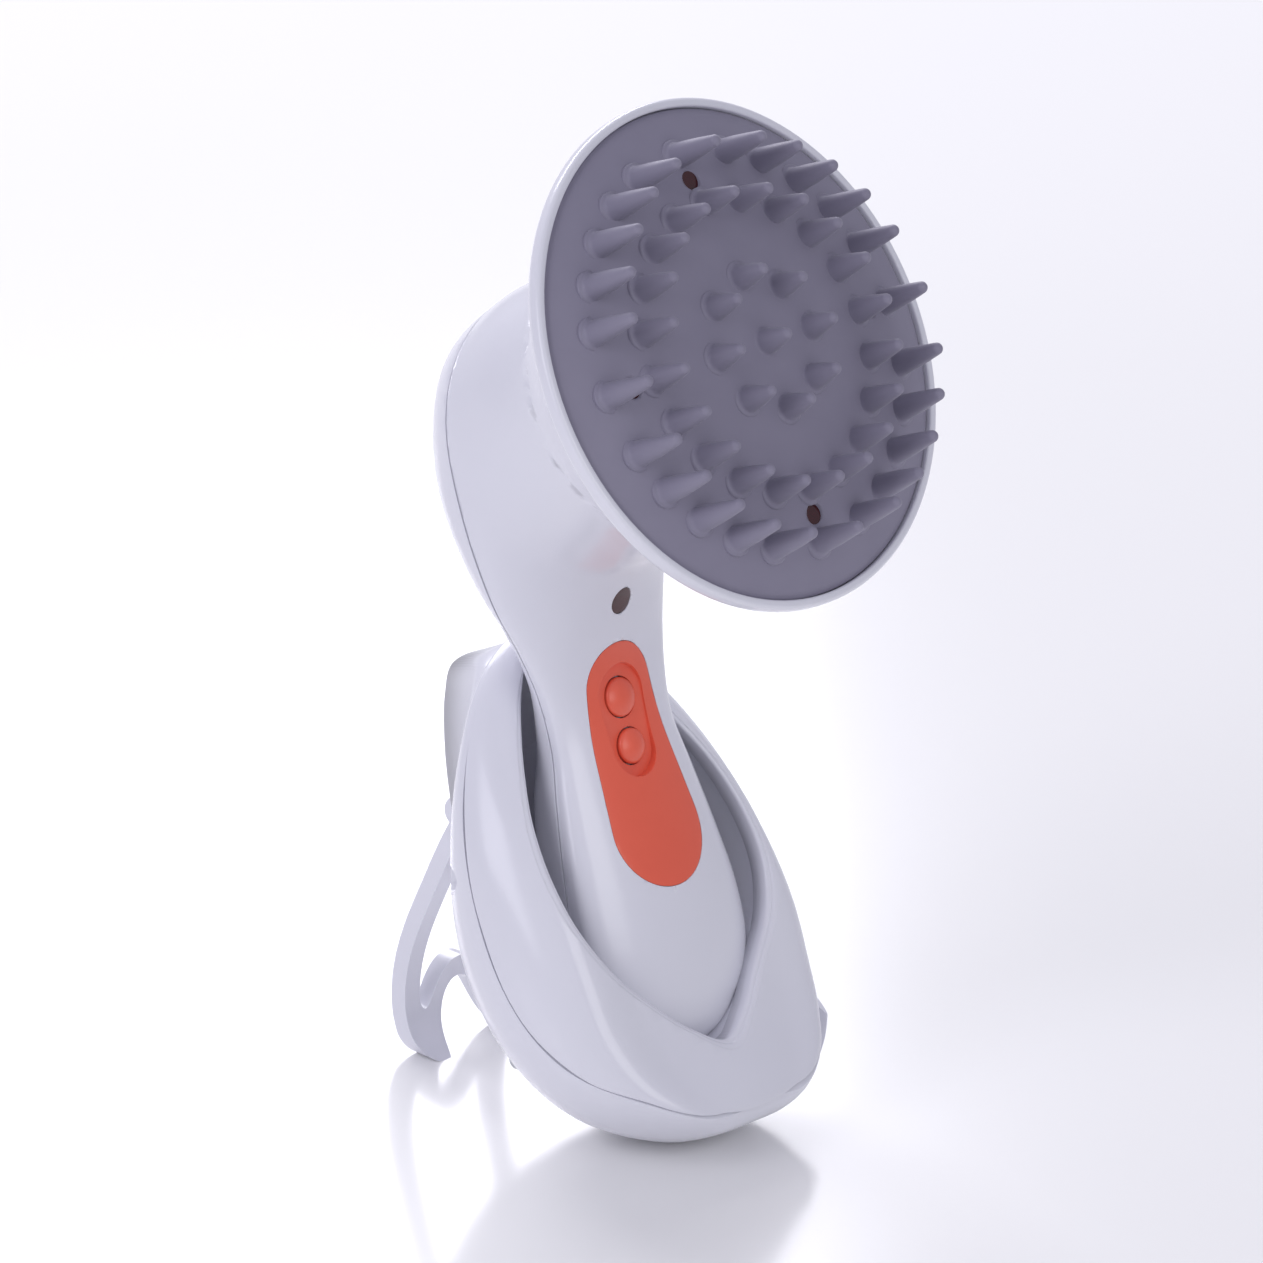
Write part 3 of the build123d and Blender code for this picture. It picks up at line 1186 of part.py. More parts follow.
with BuildPart() as cradle_screws:
    for joints, (seat, tip) in ((UPPER_JOINTS, UPPER_SCREW), (LOWER_JOINTS, LOWER_SCREW)):
        with BuildSketch(facing(seat)):
            with Locations(*joints):
                Circle(SCREW_HEAD[0])
        extrude(amount=SCREW_HEAD[1])
        with BuildSketch(facing(tip + 0.2)):
            with Locations(*joints):
                Circle(SCREW_RADIUS)
        extrude(amount=seat - tip)
        with BuildSketch(facing(seat + SCREW_HEAD[1])):
            with Locations(*joints):
                Rectangle(3.2, 0.8)
                Rectangle(0.8, 3.2)
        extrude(amount=-0.8, mode=Mode.SUBTRACT)
cradle_screws.part.label = "cradle_screws"
export_step(cradle_screws.part, "parts/cradle_screws.step")

# ---- Charging parts in the cradle -------------------------------------------------------------------
with BuildPart() as charge_pins:
    with BuildSketch(HANDLE.offset(CHARGE_BOARD_TOP - BOARD_THICKNESS)):
        with Locations(*CONTACT_SPOTS):
            Circle(CHARGE_PIN_RADIUS)
    extrude(amount=HANDLE_END - MOVING_GAP - CHARGE_BOARD_TOP + BOARD_THICKNESS)
charge_pins.part.label = "charge_pins"
export_step(charge_pins.part, "parts/charge_pins.step")

with BuildPart() as charge_board:
    with BuildSketch(HANDLE.offset(CHARGE_BOARD_TOP)):
        with Locations((0, CHARGE_BOARD[2])):
            RectangleRounded(CHARGE_BOARD[0], CHARGE_BOARD[1], 1.5)
        with Locations(*CONTACT_SPOTS):
            Circle(CHARGE_PIN_RADIUS + SEAT_GAP, mode=Mode.SUBTRACT)
    extrude(amount=-BOARD_THICKNESS)
charge_board.part.label = "charge_board"
export_step(charge_board.part, "parts/charge_board.step")

with BuildPart() as power_socket:
    with BuildSketch(facing(SOCKET_REACH[0])):
        with Locations((0, SOCKET[0])):
            Circle(SOCKET[1])
    extrude(amount=SOCKET_REACH[1] - SOCKET_REACH[0])
    with BuildSketch(facing(SOCKET_REACH[1])):
        with Locations((0, SOCKET[0])):
            Circle(SOCKET[2])
            Circle(SOCKET[3], mode=Mode.SUBTRACT)
    extrude(amount=-8, mode=Mode.SUBTRACT)
power_socket.part.label = "power_socket"
export_step(power_socket.part, "parts/power_socket.step")

# ---- Kickstand --------------------------------------------------------------------------------------


def strap_edges():
    """Outline points of the bent strap: its middle line moved to either side by half the thickness."""
    sides = ([], [])
    for index, spot in enumerate(STRAP):
        before = STRAP[max(index - 1, 0)]
        after = STRAP[min(index + 1, len(STRAP) - 1)]
        run = (after[0] - before[0], after[1] - before[1])
        length = hypot(*run)
        for side, sign in zip(sides, (1, -1)):
            shift = sign * STRAP_THICKNESS / 2 / length
            side.append((spot[0] + shift * run[1], spot[1] - shift * run[0]))
    return sides


with BuildPart() as loop_form:
    with BuildSketch(Plane.XZ.offset(-150)):
        with BuildLine():
            edge = ARM_CENTRE + ARM_WIDTH / 2
            Line((ARM_CENTRE - ARM_WIDTH / 2, ARM_TOP), (edge, ARM_TOP))
            Line((edge, ARM_TOP), (edge, 4.5))
            Spline((edge, 4.5), (edge - 1.2, 1.1), (edge - 3.6, 0), tangents=((0, -1), (-1, 0)))
            Line((edge - 3.6, 0), FOOT_OUTLINE[0])
            Spline(*FOOT_OUTLINE, tangents=((-1, 0.6), (-1, 0)))
            Line(FOOT_OUTLINE[-1], BAR_OUTLINE[0])
            Spline(*BAR_OUTLINE, tangents=((1, 0), (0, 1)))
            Line(BAR_OUTLINE[-1], (ARM_CENTRE - ARM_WIDTH / 2, ARM_TOP))
        make_face()
        mirror(about=Plane.YZ)
    extrude(amount=300)

with BuildPart() as kickstand:
    with BuildSketch(SIDE):
        with BuildLine():
            upper, lower = strap_edges()
            Spline(*upper)
            Line(upper[-1], lower[-1])
            Spline(*lower)
            Line(lower[0], upper[0])
        make_face()
    extrude(amount=40, both=True)
    add(loop_form.part, mode=Mode.INTERSECT)
    with BuildSketch(*ARM_SIDES):
        with Locations(PIVOT):
            Circle(EYE_RADIUS)
    extrude(amount=ARM_WIDTH)
    with BuildSketch(SIDE):
        with Locations(PIVOT):
            Circle(ROD_RADIUS + RUNNING_GAP)
    extrude(amount=40, both=True, mode=Mode.SUBTRACT)
kickstand.part.label = "kickstand"
export_step(kickstand.part, "parts/kickstand.step")

with BuildPart() as hinge_pins:
    with BuildSketch(SIDE.offset(HINGE_BLOCK[0] + 0.4), SIDE.offset(-HINGE_BLOCK[1] + 0.8)):
        with Locations(PIVOT):
            Circle(ROD_RADIUS)
    extrude(amount=HINGE_BLOCK[1] - HINGE_BLOCK[0] - 1.2)
hinge_pins.part.label = "hinge_pins"
export_step(hinge_pins.part, "parts/hinge_pins.step")
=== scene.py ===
"""Electric scalp massager in its charging cradle: finishes, fine forms, floor, lamps and camera.

Lengths are in metres unless a name ends in _mm. +Z is up, the massage pad faces -Y and X = 0 is the
plane of symmetry. Two slanted frames carry the object's own sizes: HANDLE has x across, y towards the
back and z up along the handle; HEAD has x across, y up along the pad and z out of the pad.
"""

import logging
import math
from dataclasses import dataclass, field
from enum import Enum

import bmesh
import bpy
from mathutils import Matrix, Vector
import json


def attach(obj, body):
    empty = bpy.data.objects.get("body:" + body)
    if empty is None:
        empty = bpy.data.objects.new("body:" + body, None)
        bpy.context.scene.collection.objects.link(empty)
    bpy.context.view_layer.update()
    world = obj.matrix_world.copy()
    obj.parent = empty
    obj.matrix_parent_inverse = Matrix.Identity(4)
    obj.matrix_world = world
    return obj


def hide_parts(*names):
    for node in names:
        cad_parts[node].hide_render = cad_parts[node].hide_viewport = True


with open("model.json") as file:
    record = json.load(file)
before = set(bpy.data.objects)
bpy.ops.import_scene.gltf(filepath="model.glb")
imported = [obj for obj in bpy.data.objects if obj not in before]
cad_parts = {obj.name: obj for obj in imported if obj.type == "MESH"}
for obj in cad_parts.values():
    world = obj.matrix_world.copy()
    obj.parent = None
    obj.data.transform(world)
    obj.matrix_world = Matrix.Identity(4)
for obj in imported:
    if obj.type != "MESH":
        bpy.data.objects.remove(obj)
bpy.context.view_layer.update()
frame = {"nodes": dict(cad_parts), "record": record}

LOG = logging.getLogger("scalp_massager")
MM = 0.001
SHARP_TURN = 40.0  # degrees; edges that turn more are rounded

Point = tuple[float, float]
Point3 = tuple[float, float, float]


# ---- Frames of the object ---------------------------------------------------------------------------


def slanted_frame(origin: Vector, across: Vector, outward: Vector) -> Matrix:
    """Build the matrix that takes a slanted frame's millimetres to the world's metres.

    Args:
        origin: The frame's origin in the world, in metres.
        across: Its x direction.
        outward: Its z direction.

    Returns:
        A 4 x 4 matrix with the millimetre scale in it.
    """
    z_axis = outward.normalized()
    x_axis = across.normalized()
    y_axis = z_axis.cross(x_axis)
    turn = Matrix((x_axis, y_axis, z_axis)).transposed().to_4x4()
    return Matrix.Translation(origin) @ turn @ Matrix.Scale(MM, 4)


HANDLE_LEAN = math.radians(20.5)
PAD_TILT = math.radians(31.8)
PAD_CENTRE = Vector((0.0, -0.01775, 0.168))
ACROSS = Vector((1.0, 0.0, 0.0))
HANDLE = slanted_frame(PAD_CENTRE, ACROSS, Vector((0.0, math.sin(HANDLE_LEAN), math.cos(HANDLE_LEAN))))
HEAD = slanted_frame(PAD_CENTRE, ACROSS, Vector((0.0, -math.cos(PAD_TILT), math.sin(PAD_TILT))))


# ---- Finishes ---------------------------------------------------------------------------------------


class Slot(Enum):
    """The record's material slots that the new pieces take."""

    WHITE = "white_gloss"
    PAD = "pad_silicone"
    CORAL = "coral_gloss"
    LENS = "dark_lens"


def linear(hex_colour: str) -> tuple[float, float, float, float]:
    """Turn an sRGB hex colour to linear light.

    Args:
        hex_colour: Six hex digits, such as "f2f2f6".

    Returns:
        Red, green, blue and an alpha of one.
    """
    shares = [int(hex_colour[i : i + 2], 16) / 255 for i in (0, 2, 4)]
    red, green, blue = [s / 12.92 if s <= 0.04045 else ((s + 0.055) / 1.055) ** 2.4 for s in shares]
    return (red, green, blue, 1.0)


def add_node(
    tree: bpy.types.NodeTree,
    kind: str,
    settings: dict[str | int, object] | None = None,
    links: dict[str | int, bpy.types.NodeSocket] | None = None,
) -> bpy.types.Node:
    """Add a shader node.

    Args:
        tree: The node tree that it goes in.
        kind: The node's type, such as "ShaderNodeTexNoise".
        settings: Values by the name or number of an input, or by the name of a property.
        links: Output sockets by the name or number of the input that they feed.

    Returns:
        The new node.
    """
    node = tree.nodes.new(kind)
    for key, value in (settings or {}).items():
        if isinstance(key, str) and hasattr(node, key):
            setattr(node, key, value)
        else:
            node.inputs[key].default_value = value
    for key, source in (links or {}).items():
        tree.links.new(source, node.inputs[key])
    return node


def per_mm(size_mm: float) -> float:
    """Return the texture scale at which a pattern's cells have that size."""
    return 1 / (size_mm * MM)


@dataclass(frozen=True)
class Finish:
    """A surface's colour in two near shades, its gloss and its fine relief."""

    name: str
    shade: str
    other_shade: str
    roughness: Point
    ior: float
    cloud_mm: float
    relief_mm: float
    relief_depth_mm: float
    metallic: float = 0.0
    stretch: tuple[float, float, float] = (1.0, 1.0, 1.0)
    extra: tuple[tuple[str, float], ...] = ()

    def build(self) -> bpy.types.Material:
        """Make the material.

        Returns:
            A node material on Object coordinates.
        """
        material = bpy.data.materials.new(self.name)
        material.use_nodes = True
        tree = material.node_tree
        tree.nodes.clear()
        place = add_node(tree, "ShaderNodeTexCoord").outputs["Object"]
        place = add_node(tree, "ShaderNodeMapping", {"Scale": self.stretch}, {"Vector": place}).outputs[0]
        broad = {"Scale": per_mm(self.cloud_mm), "Detail": 3.0}
        cloud = add_node(tree, "ShaderNodeTexNoise", broad, {"Vector": place})
        small = {"Scale": per_mm(self.relief_mm), "Detail": 2.0}
        fine = add_node(tree, "ShaderNodeTexNoise", small, {"Vector": place})
        tint = add_node(
            tree,
            "ShaderNodeMix",
            {"data_type": "RGBA", 6: linear(self.shade), 7: linear(self.other_shade)},
            {0: cloud.outputs[0]},
        )
        low, high = self.roughness
        gloss = add_node(
            tree,
            "ShaderNodeMapRange",
            {"From Min": 0.3, "From Max": 0.7, "To Min": low, "To Max": high},
            {"Value": cloud.outputs[0]},
        )
        relief = add_node(
            tree,
            "ShaderNodeBump",
            {"Strength": 1.0, "Distance": self.relief_depth_mm * MM},
            {"Height": fine.outputs[0]},
        )
        shader = add_node(
            tree,
            "ShaderNodeBsdfPrincipled",
            {"Metallic": self.metallic, **dict(self.extra)},
            {"Base Color": tint.outputs[2], "Roughness": gloss.outputs[0], "Normal": relief.outputs[0]},
        )
        if not self.metallic:
            shader.inputs["IOR"].default_value = self.ior
        add_node(tree, "ShaderNodeOutputMaterial", links={"Surface": shader.outputs[0]})
        return material


FINISHES = {
    # ABS from a polished mould: a clear, slightly soft reflection over a cool white body.
    "white_gloss": Finish("moulded_abs_white", "e9e9f0", "e4e4ec", (0.17, 0.23), 1.53, 24.0, 2.2, 0.004),
    # Silicone rubber from a satin mould: a broad dull sheen, with the faint dust that rubber picks up.
    "pad_silicone": Finish(
        "moulded_silicone_mauve_grey",
        "918d9f",
        "8a8698",
        (0.46, 0.58),
        1.41,
        9.0,
        0.5,
        0.010,
        extra=(("Sheen Weight", 0.18), ("Sheen Roughness", 0.45)),
    ),
    # ABS dyed coral, moulded with a light satin: the highlight spreads a little over the domes.
    "coral_gloss": Finish("moulded_abs_coral", "f26a50", "ee6349", (0.27, 0.34), 1.53, 12.0, 0.6, 0.004),
    # Polycarbonate tinted dark red: near black with a sharp reflection, red where light reaches in.
    "dark_lens": Finish(
        "tinted_polycarbonate_lens", "4a1218", "38090f", (0.06, 0.10), 1.58, 2.0, 1.5, 0.002
    ),
    # Nylon from a spark-eroded mould: an even fine grain that scatters the light.
    "black_plastic": Finish("moulded_nylon_black", "1b1b1e", "232327", (0.48, 0.58), 1.52, 5.0, 0.35, 0.014),
    # Acetal from a plain mould: a waxy grey with soft reflections.
    "grey_plastic": Finish("moulded_acetal_grey", "8f8f96", "87878f", (0.36, 0.44), 1.48, 8.0, 0.5, 0.008),
    # Glass-epoxy board under green solder mask: darker and lighter green where copper runs below.
    "circuit_board": Finish("solder_mask_green", "0d5a30", "14743f", (0.22, 0.34), 1.50, 1.6, 0.8, 0.008),
    # Clear epoxy round a light chip: pale, glassy, a little uneven.
    "led_clear": Finish("cast_epoxy_clear", "d9d4cc", "e6e1da", (0.08, 0.14), 1.55, 1.2, 0.9, 0.003),
    # Zinc plated steel, rolled and turned: bright with fine marks along one way.
    "steel": Finish(
        "zinc_plated_steel", "b4b6ba", "c4c6ca", (0.24, 0.36), 1.45, 1.4, 0.25, 0.004, 1.0, (1.0, 1.0, 6.0)
    ),
    # Deep-drawn nickel plated can: brighter, with long faint draw lines.
    "motor_can": Finish(
        "nickel_plated_can", "a9a8a4", "b7b6b2", (0.20, 0.30), 1.45, 4.0, 0.4, 0.004, 1.0, (1.0, 1.0, 5.0)
    ),
    # Sintered tungsten alloy, turned: dark grey metal with a granular look.
    "tungsten": Finish("sintered_tungsten", "6a6c70", "5e6064", (0.38, 0.50), 1.45, 1.0, 0.3, 0.010, 1.0),
    # Gold flashed brass: warm and bright, faintly worn where the contacts rub.
    "contact_brass": Finish(
        "gold_flashed_brass", "d9b25c", "c99f4c", (0.18, 0.32), 1.45, 0.8, 0.3, 0.003, 1.0
    ),
    # Shrunk PVC sleeve: a glossy film with slight waves round the cell.
    "cell_sleeve": Finish("shrunk_pvc_blue", "2a52a0", "234890", (0.26, 0.36), 1.52, 6.0, 1.8, 0.020),
}


@dataclass
class Workshop:
    """Holds the built materials and turns meshes into finished pieces."""

    materials: dict[str, bpy.types.Material] = field(default_factory=dict)

    def material(self, slot: str) -> bpy.types.Material:
        """Return a slot's material, built on first use."""
        if slot not in self.materials:
            self.materials[slot] = FINISHES[slot].build()
        return self.materials[slot]

    def dress_nodes(self) -> None:
        """Give every carried-over CAD node the material of its slot."""
        for row in frame["record"]["subparts"]:
            mesh = frame["nodes"][row["node"]].data
            mesh.materials.clear()
            mesh.materials.append(self.material(row["material_slot"]))

    def piece(
        self, name: str, mesh: bmesh.types.BMesh, body: str, slot: Slot, nodes: tuple[str, ...] = ()
    ) -> None:
        """Finish a mesh as a piece of the object.

        Args:
            name: The piece's name.
            mesh: Its shape in world metres; it is freed here.
            body: The CAD body that it rides on.
            slot: The material slot that it takes.
            nodes: The CAD nodes that it stands for.
        """
        data = bpy.data.meshes.new(name)
        mesh.to_mesh(data)
        mesh.free()
        obj = bpy.data.objects.new(name, data)
        bpy.context.scene.collection.objects.link(obj)
        data.materials.append(self.material(slot.value))
        data.shade_smooth()
        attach(obj, body)
        if nodes:
            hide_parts(*nodes)
        LOG.info("piece %s rides on %s", name, body)


# ---- Mesh helpers -----------------------------------------------------------------------------------


def open_line(mesh: bmesh.types.BMesh, points: list[Point]) -> list[bmesh.types.BMEdge]:
    """Draw an open line in the x-z plane.

    Args:
        mesh: The mesh that it goes in.
        points: Radius and height of each point.

    Returns:
        The line's edges in order.
    """
    corners = [mesh.verts.new((radius, 0.0, height)) for radius, height in points]
    return [mesh.edges.new(pair) for pair in zip(corners, corners[1:])]


def turned(points: list[Point], steps: int) -> bmesh.types.BMesh:
    """Turn a half outline round the z axis into a closed form.

    Args:
        points: Radius and height of each point in millimetres, from one pole to the other
            or back to the start.
        steps: Divisions of the full turn.

    Returns:
        The turned mesh, with its normals outward.
    """
    mesh = bmesh.new()
    edges = open_line(mesh, points)
    corners = list(mesh.verts)
    bmesh.ops.spin(
        mesh,
        geom=corners + edges,
        cent=(0, 0, 0),
        axis=(0, 0, 1),
        angle=math.tau,
        steps=steps,
        use_merge=True,
        use_duplicate=False,
    )
    bmesh.ops.remove_doubles(mesh, verts=mesh.verts, dist=1e-4)
    bmesh.ops.recalc_face_normals(mesh, faces=mesh.faces)
    return mesh


def joined(parts: list[tuple[bmesh.types.BMesh, Matrix]]) -> bmesh.types.BMesh:
    """Place some meshes and put them into one.

    Args:
        parts: Meshes in millimetres with the matrices that place them; they are freed here.

    Returns:
        One mesh.
    """
    whole = bmesh.new()
    for part, place in parts:
        bmesh.ops.transform(part, matrix=place, verts=part.verts)
        data = bpy.data.meshes.new("part")
        part.to_mesh(data)
        part.free()
        whole.from_mesh(data)
        bpy.data.meshes.remove(data)
    return whole


def rounded(
    points: list[Point], centre: Point, radius: float, start: float, end: float, steps: int
) -> list[Point]:
    """Add an arc to an outline.

    Args:
        points: The outline so far.
        centre: The arc's centre.
        radius: Its radius.
        start: First angle in degrees.
        end: Last angle in degrees.
        steps: Divisions of the arc.

    Returns:
        The outline with the arc's points added.
    """
    for step in range(steps + 1):
        angle = math.radians(start + (end - start) * step / steps)
        points.append((centre[0] + radius * math.cos(angle), centre[1] + radius * math.sin(angle)))
    return points


def smoothed(rows: list[tuple[float, ...]], steps: int, closed: bool = False) -> list[tuple[float, ...]]:
    """Pass a smooth curve through rows of values, spaced by the distance between their first two.

    Args:
        rows: The rows that it passes through.
        steps: Divisions of each stretch.
        closed: Whether the last row leads back to the first.

    Returns:
        The curve's rows.
    """
    count = len(rows)
    stretches = count if closed else count - 1
    gaps = [math.dist(rows[i][:2], rows[(i + 1) % count][:2]) for i in range(stretches)]
    slopes = [
        [(b - a) / gaps[i] for a, b in zip(rows[i], rows[(i + 1) % count])] for i in range(stretches)
    ]

    def tangent(i: int) -> list[float]:
        """Return the slope of the curve at a row."""
        if not closed and i in (0, count - 1):
            return slopes[min(i, stretches - 1)]
        before, after = gaps[i - 1], gaps[i % stretches]
        pairs = zip(slopes[i - 1], slopes[i % stretches])
        return [(first * after + second * before) / (before + after) for first, second in pairs]

    curve = []
    for i in range(stretches):
        start, end = rows[i], rows[(i + 1) % count]
        leave, arrive = tangent(i), tangent((i + 1) % count)
        for step in range(steps):
            t = step / steps
            h = gaps[i]
            weights = (
                2 * t**3 - 3 * t**2 + 1,
                (t**3 - 2 * t**2 + t) * h,
                3 * t**2 - 2 * t**3,
                (t**3 - t**2) * h,
            )
            curve.append(
                tuple(
                    weights[0] * p + weights[1] * m + weights[2] * q + weights[3] * n
                    for p, m, q, n in zip(start, leave, end, arrive)
                )
            )
    if not closed:
        curve.append(tuple(rows[-1]))
    return curve


def lofted(rings: list[list[Vector]], closed_ends: bool = True) -> bmesh.types.BMesh:
    """Draw a skin through a row of rings.

    Args:
        rings: Rings of as many points each, in world metres.
        closed_ends: Whether the first and last ring are filled.

    Returns:
        The skin, with its normals outward.
    """
    mesh = bmesh.new()
    corners = [mesh.verts.new(point) for point in rings[0]]
    loop = [mesh.edges.new(pair) for pair in zip(corners, corners[1:] + corners[:1])]
    ends = [loop]
    for ring in rings[1:]:
        grown = bmesh.ops.extrude_edge_only(mesh, edges=loop)["geom"]
        fresh = {item for item in grown if isinstance(item, bmesh.types.BMVert)}
        corners = [
            next(edge.other_vert(corner) for edge in corner.link_edges if edge.other_vert(corner) in fresh)
            for corner in corners
        ]
        for corner, point in zip(corners, ring):
            corner.co = point
        loop = [
            item for item in grown if isinstance(item, bmesh.types.BMEdge) and fresh.issuperset(item.verts)
        ]
    ends.append(loop)
    if closed_ends:
        for end in ends:
            bmesh.ops.edgeloop_fill(mesh, edges=end)
    bmesh.ops.recalc_face_normals(mesh, faces=mesh.faces)
    return mesh


class Cut(Enum):
    """How two closed forms are combined."""

    REMOVE = "DIFFERENCE"
    KEEP = "INTERSECT"


def combined(base: bmesh.types.BMesh, tool: bmesh.types.BMesh, how: Cut) -> bmesh.types.BMesh:
    """Cut a closed form with another.

    Args:
        base: The form that is cut; it is freed here.
        tool: The cutting form; it is freed here.
        how: Whether what the tool covers is removed or kept.

    Returns:
        The cut form.
    """
    holders = []
    for label, part in (("base", base), ("tool", tool)):
        data = bpy.data.meshes.new(label)
        part.to_mesh(data)
        part.free()
        holder = bpy.data.objects.new(label, data)
        bpy.context.scene.collection.objects.link(holder)
        holders.append(holder)
    modifier = holders[0].modifiers.new("cut", "BOOLEAN")
    modifier.object = holders[1]
    modifier.operation = how.value
    modifier.solver = "EXACT"
    evaluated = holders[0].evaluated_get(bpy.context.evaluated_depsgraph_get())
    data = bpy.data.meshes.new_from_object(evaluated)
    result = bmesh.new()
    result.from_mesh(data)
    bpy.data.meshes.remove(data)
    for holder in holders:
        old = holder.data
        bpy.data.objects.remove(holder)
        bpy.data.meshes.remove(old)
    return result


def softened(
    mesh: bmesh.types.BMesh, width_mm: float, segments: int = 2, sharper_than: float = SHARP_TURN
) -> None:
    """Round the sharp edges of a form.

    Args:
        mesh: The form in world metres.
        width_mm: Width of the rounding.
        segments: Divisions of the rounding.
        sharper_than: Only edges that turn more than this, in degrees, are rounded.
    """
    turn = math.radians(sharper_than)
    sharp = [e for e in mesh.edges if len(e.link_faces) == 2 and e.calc_face_angle(0) > turn]
    bmesh.ops.bevel(
        mesh,
        geom=sharp,
        offset=width_mm * MM,
        offset_type="OFFSET",
        affect="EDGES",
        segments=segments,
        profile=0.5,
        material=-1,
        clamp_overlap=True,
    )


# ---- Shell of head, neck and handle -----------------------------------------------------------------


@dataclass(frozen=True)
class Station:
    """One cross-section: where it meets the front and the back outline, and how wide it is."""

    front: Point
    back: Point
    half_width: float
    widest: float

    def row(self) -> tuple[float, ...]:
        """Return its sizes as one row."""
        return (*self.front, *self.back, self.half_width, self.widest)


def from_head(rise: float, ahead: float) -> Point:
    """Turn a point of the symmetry plane from HEAD y and z into HANDLE y and z."""
    turn = PAD_TILT - HANDLE_LEAN
    return (
        rise * math.sin(turn) - ahead * math.cos(turn),
        rise * math.cos(turn) + ahead * math.sin(turn),
    )


@dataclass
class Housing:
    """The white shell of head, neck and handle, its coral panel and what is set in it."""

    workshop: Workshop
    parting: float = 58.5
    groove: float = 0.4
    recess_radius: float = 50.15
    rim_width: float = 1.9
    rim_proud: float = 0.8
    recess_floor: float = -2.6
    inner_round: float = 0.45
    ring_steps: int = 128
    edge_round: float = 0.25
    cut_from: float = 20.0
    pocket_floor: float = 54.6
    panel_gap: float = 0.12
    panel_back: float = 54.2
    panel_round: float = 0.35
    panel_top: Point = (-64.7, 9.2)
    panel_bottom: Point = (-93.7, 12.2)
    dish_top: Point = (-66.2, 6.3)
    dish_bottom: Point = (-77.4, 5.8)
    dish_floor: float = 52.95
    power: Point3 = (-66.8, 4.0, 52.1)
    mode: Point3 = (-76.9, 3.6, 51.8)
    button_gap: float = 0.3
    button_proud: float = 0.7
    button_dome: float = 1.1
    button_foot: float = 53.9
    indicator: Point3 = (-47.3, 2.6, 2.5)
    window_gap: float = 0.12
    window_floor: float = 56.0
    lens_back: float = 55.4
    lens_round: float = 0.4
    horn: list[Point] = field(
        default_factory=lambda: [
            (29.0, -30.0),
            (31.8, -23.5),
            (36.6, -16.8),
            (43.0, -10.0),
            (48.4, -5.6),
            (51.55, -2.6),
        ]
    )
    stations: list[Station] = field(
        default_factory=lambda: [
            Station((34.5, -38.0), (56.5, 16.8), 27.6, 0.52),
            Station((41.8, -41.5), (69.6, 8.5), 27.0, 0.52),
            Station((46.0, -46.5), (75.4, -8.0), 26.0, 0.47),
            Station((48.8, -52.0), (74.4, -25.5), 23.6, 0.40),
            Station((51.0, -58.5), (70.0, -42.5), 19.8, 0.32),
            Station((52.1, -65.5), (68.4, -57.5), 17.2, 0.26),
            Station((52.1, -73.0), (71.2, -71.5), 16.5, 0.24),
            Station((50.7, -84.0), (75.4, -84.0), 18.4, 0.24),
            Station((48.7, -98.0), (77.2, -98.0), 20.7, 0.26),
            Station((47.4, -111.0), (77.0, -111.0), 22.0, 0.27),
            Station((47.4, -122.0), (75.4, -122.0), 21.2, 0.28),
            Station((48.4, -130.5), (72.6, -130.5), 17.8, 0.30),
            Station((50.2, -136.0), (69.2, -136.0), 12.8, 0.35),
            Station((53.6, -139.0), (65.4, -139.0), 6.8, 0.40),
        ]
    )

    def section(self, row: tuple[float, ...], inset: float) -> list[Vector]:
        """Lay out one egg-shaped cross-section.

        Args:
            row: A station's sizes.
            inset: How far it is shrunk.

        Returns:
            Its ring of points in world metres.
        """
        front = Vector((0.0, row[0], row[1]))
        across = Vector((0.0, row[2], row[3])) - front
        half, widest = row[4] - inset, across.length * row[5]
        direction = across.normalized()
        ring = []
        for step in range(self.ring_steps):
            angle = math.tau * step / self.ring_steps
            depth = across.length - widest - inset if math.sin(angle) > 0 else widest - inset
            point = front + direction * (widest + depth * math.sin(angle))
            ring.append(HANDLE @ (point + Vector((half * math.cos(angle), 0.0, 0.0))))
        return ring

    def handle_rings(self, inset: float) -> list[list[Vector]]:
        """Lay out the rings of neck and handle, from the horn's end down."""
        neck = self.horn[0]
        flare = self.horn[1]
        rows = [
            Station(from_head(-flare[0], flare[1]), from_head(flare[0], flare[1]), flare[0], 0.5).row(),
            Station(from_head(-neck[0], neck[1]), from_head(neck[0], neck[1]), neck[0], 0.5).row(),
            *[station.row() for station in self.stations],
        ]
        steps = 7
        return [self.section(row, inset) for row in smoothed(rows, steps)[steps:]]

    def head_ring(self, radius: float, height: float) -> list[Vector]:
        """Lay out one round ring of the horn."""
        angles = [math.tau * step / self.ring_steps for step in range(self.ring_steps)]
        return [HEAD @ Vector((radius * math.cos(a), radius * math.sin(a), height)) for a in angles]

    def skin(self) -> bmesh.types.BMesh:
        """Loft the whole outer form, from the pad's recess over the rim and down to the handle's end.

        Returns:
            A closed form in world metres.
        """
        outer = self.recess_radius + self.rim_width
        round_off = self.rim_width / 2
        floor, inner = self.recess_floor, self.inner_round
        outline: list[Point] = [(20.0, floor), (44.0, floor), (self.recess_radius, floor)]
        outline.append((self.recess_radius, -1.4))
        outline = rounded(outline, (self.recess_radius + inner, self.rim_proud - inner), inner, 180, 90, 4)
        outline = rounded(outline, (outer - round_off, self.rim_proud - round_off), round_off, 80, 0, 6)
        outline += [(outer, -1.2), (outer - 0.06, -1.9)]
        outline += [point[:2] for point in smoothed(self.horn[::-1] + [(28.4, -36.0)], 7)[:-7]]
        rings = [self.head_ring(radius, height) for radius, height in outline]
        return lofted(rings + self.handle_rings(0.0))

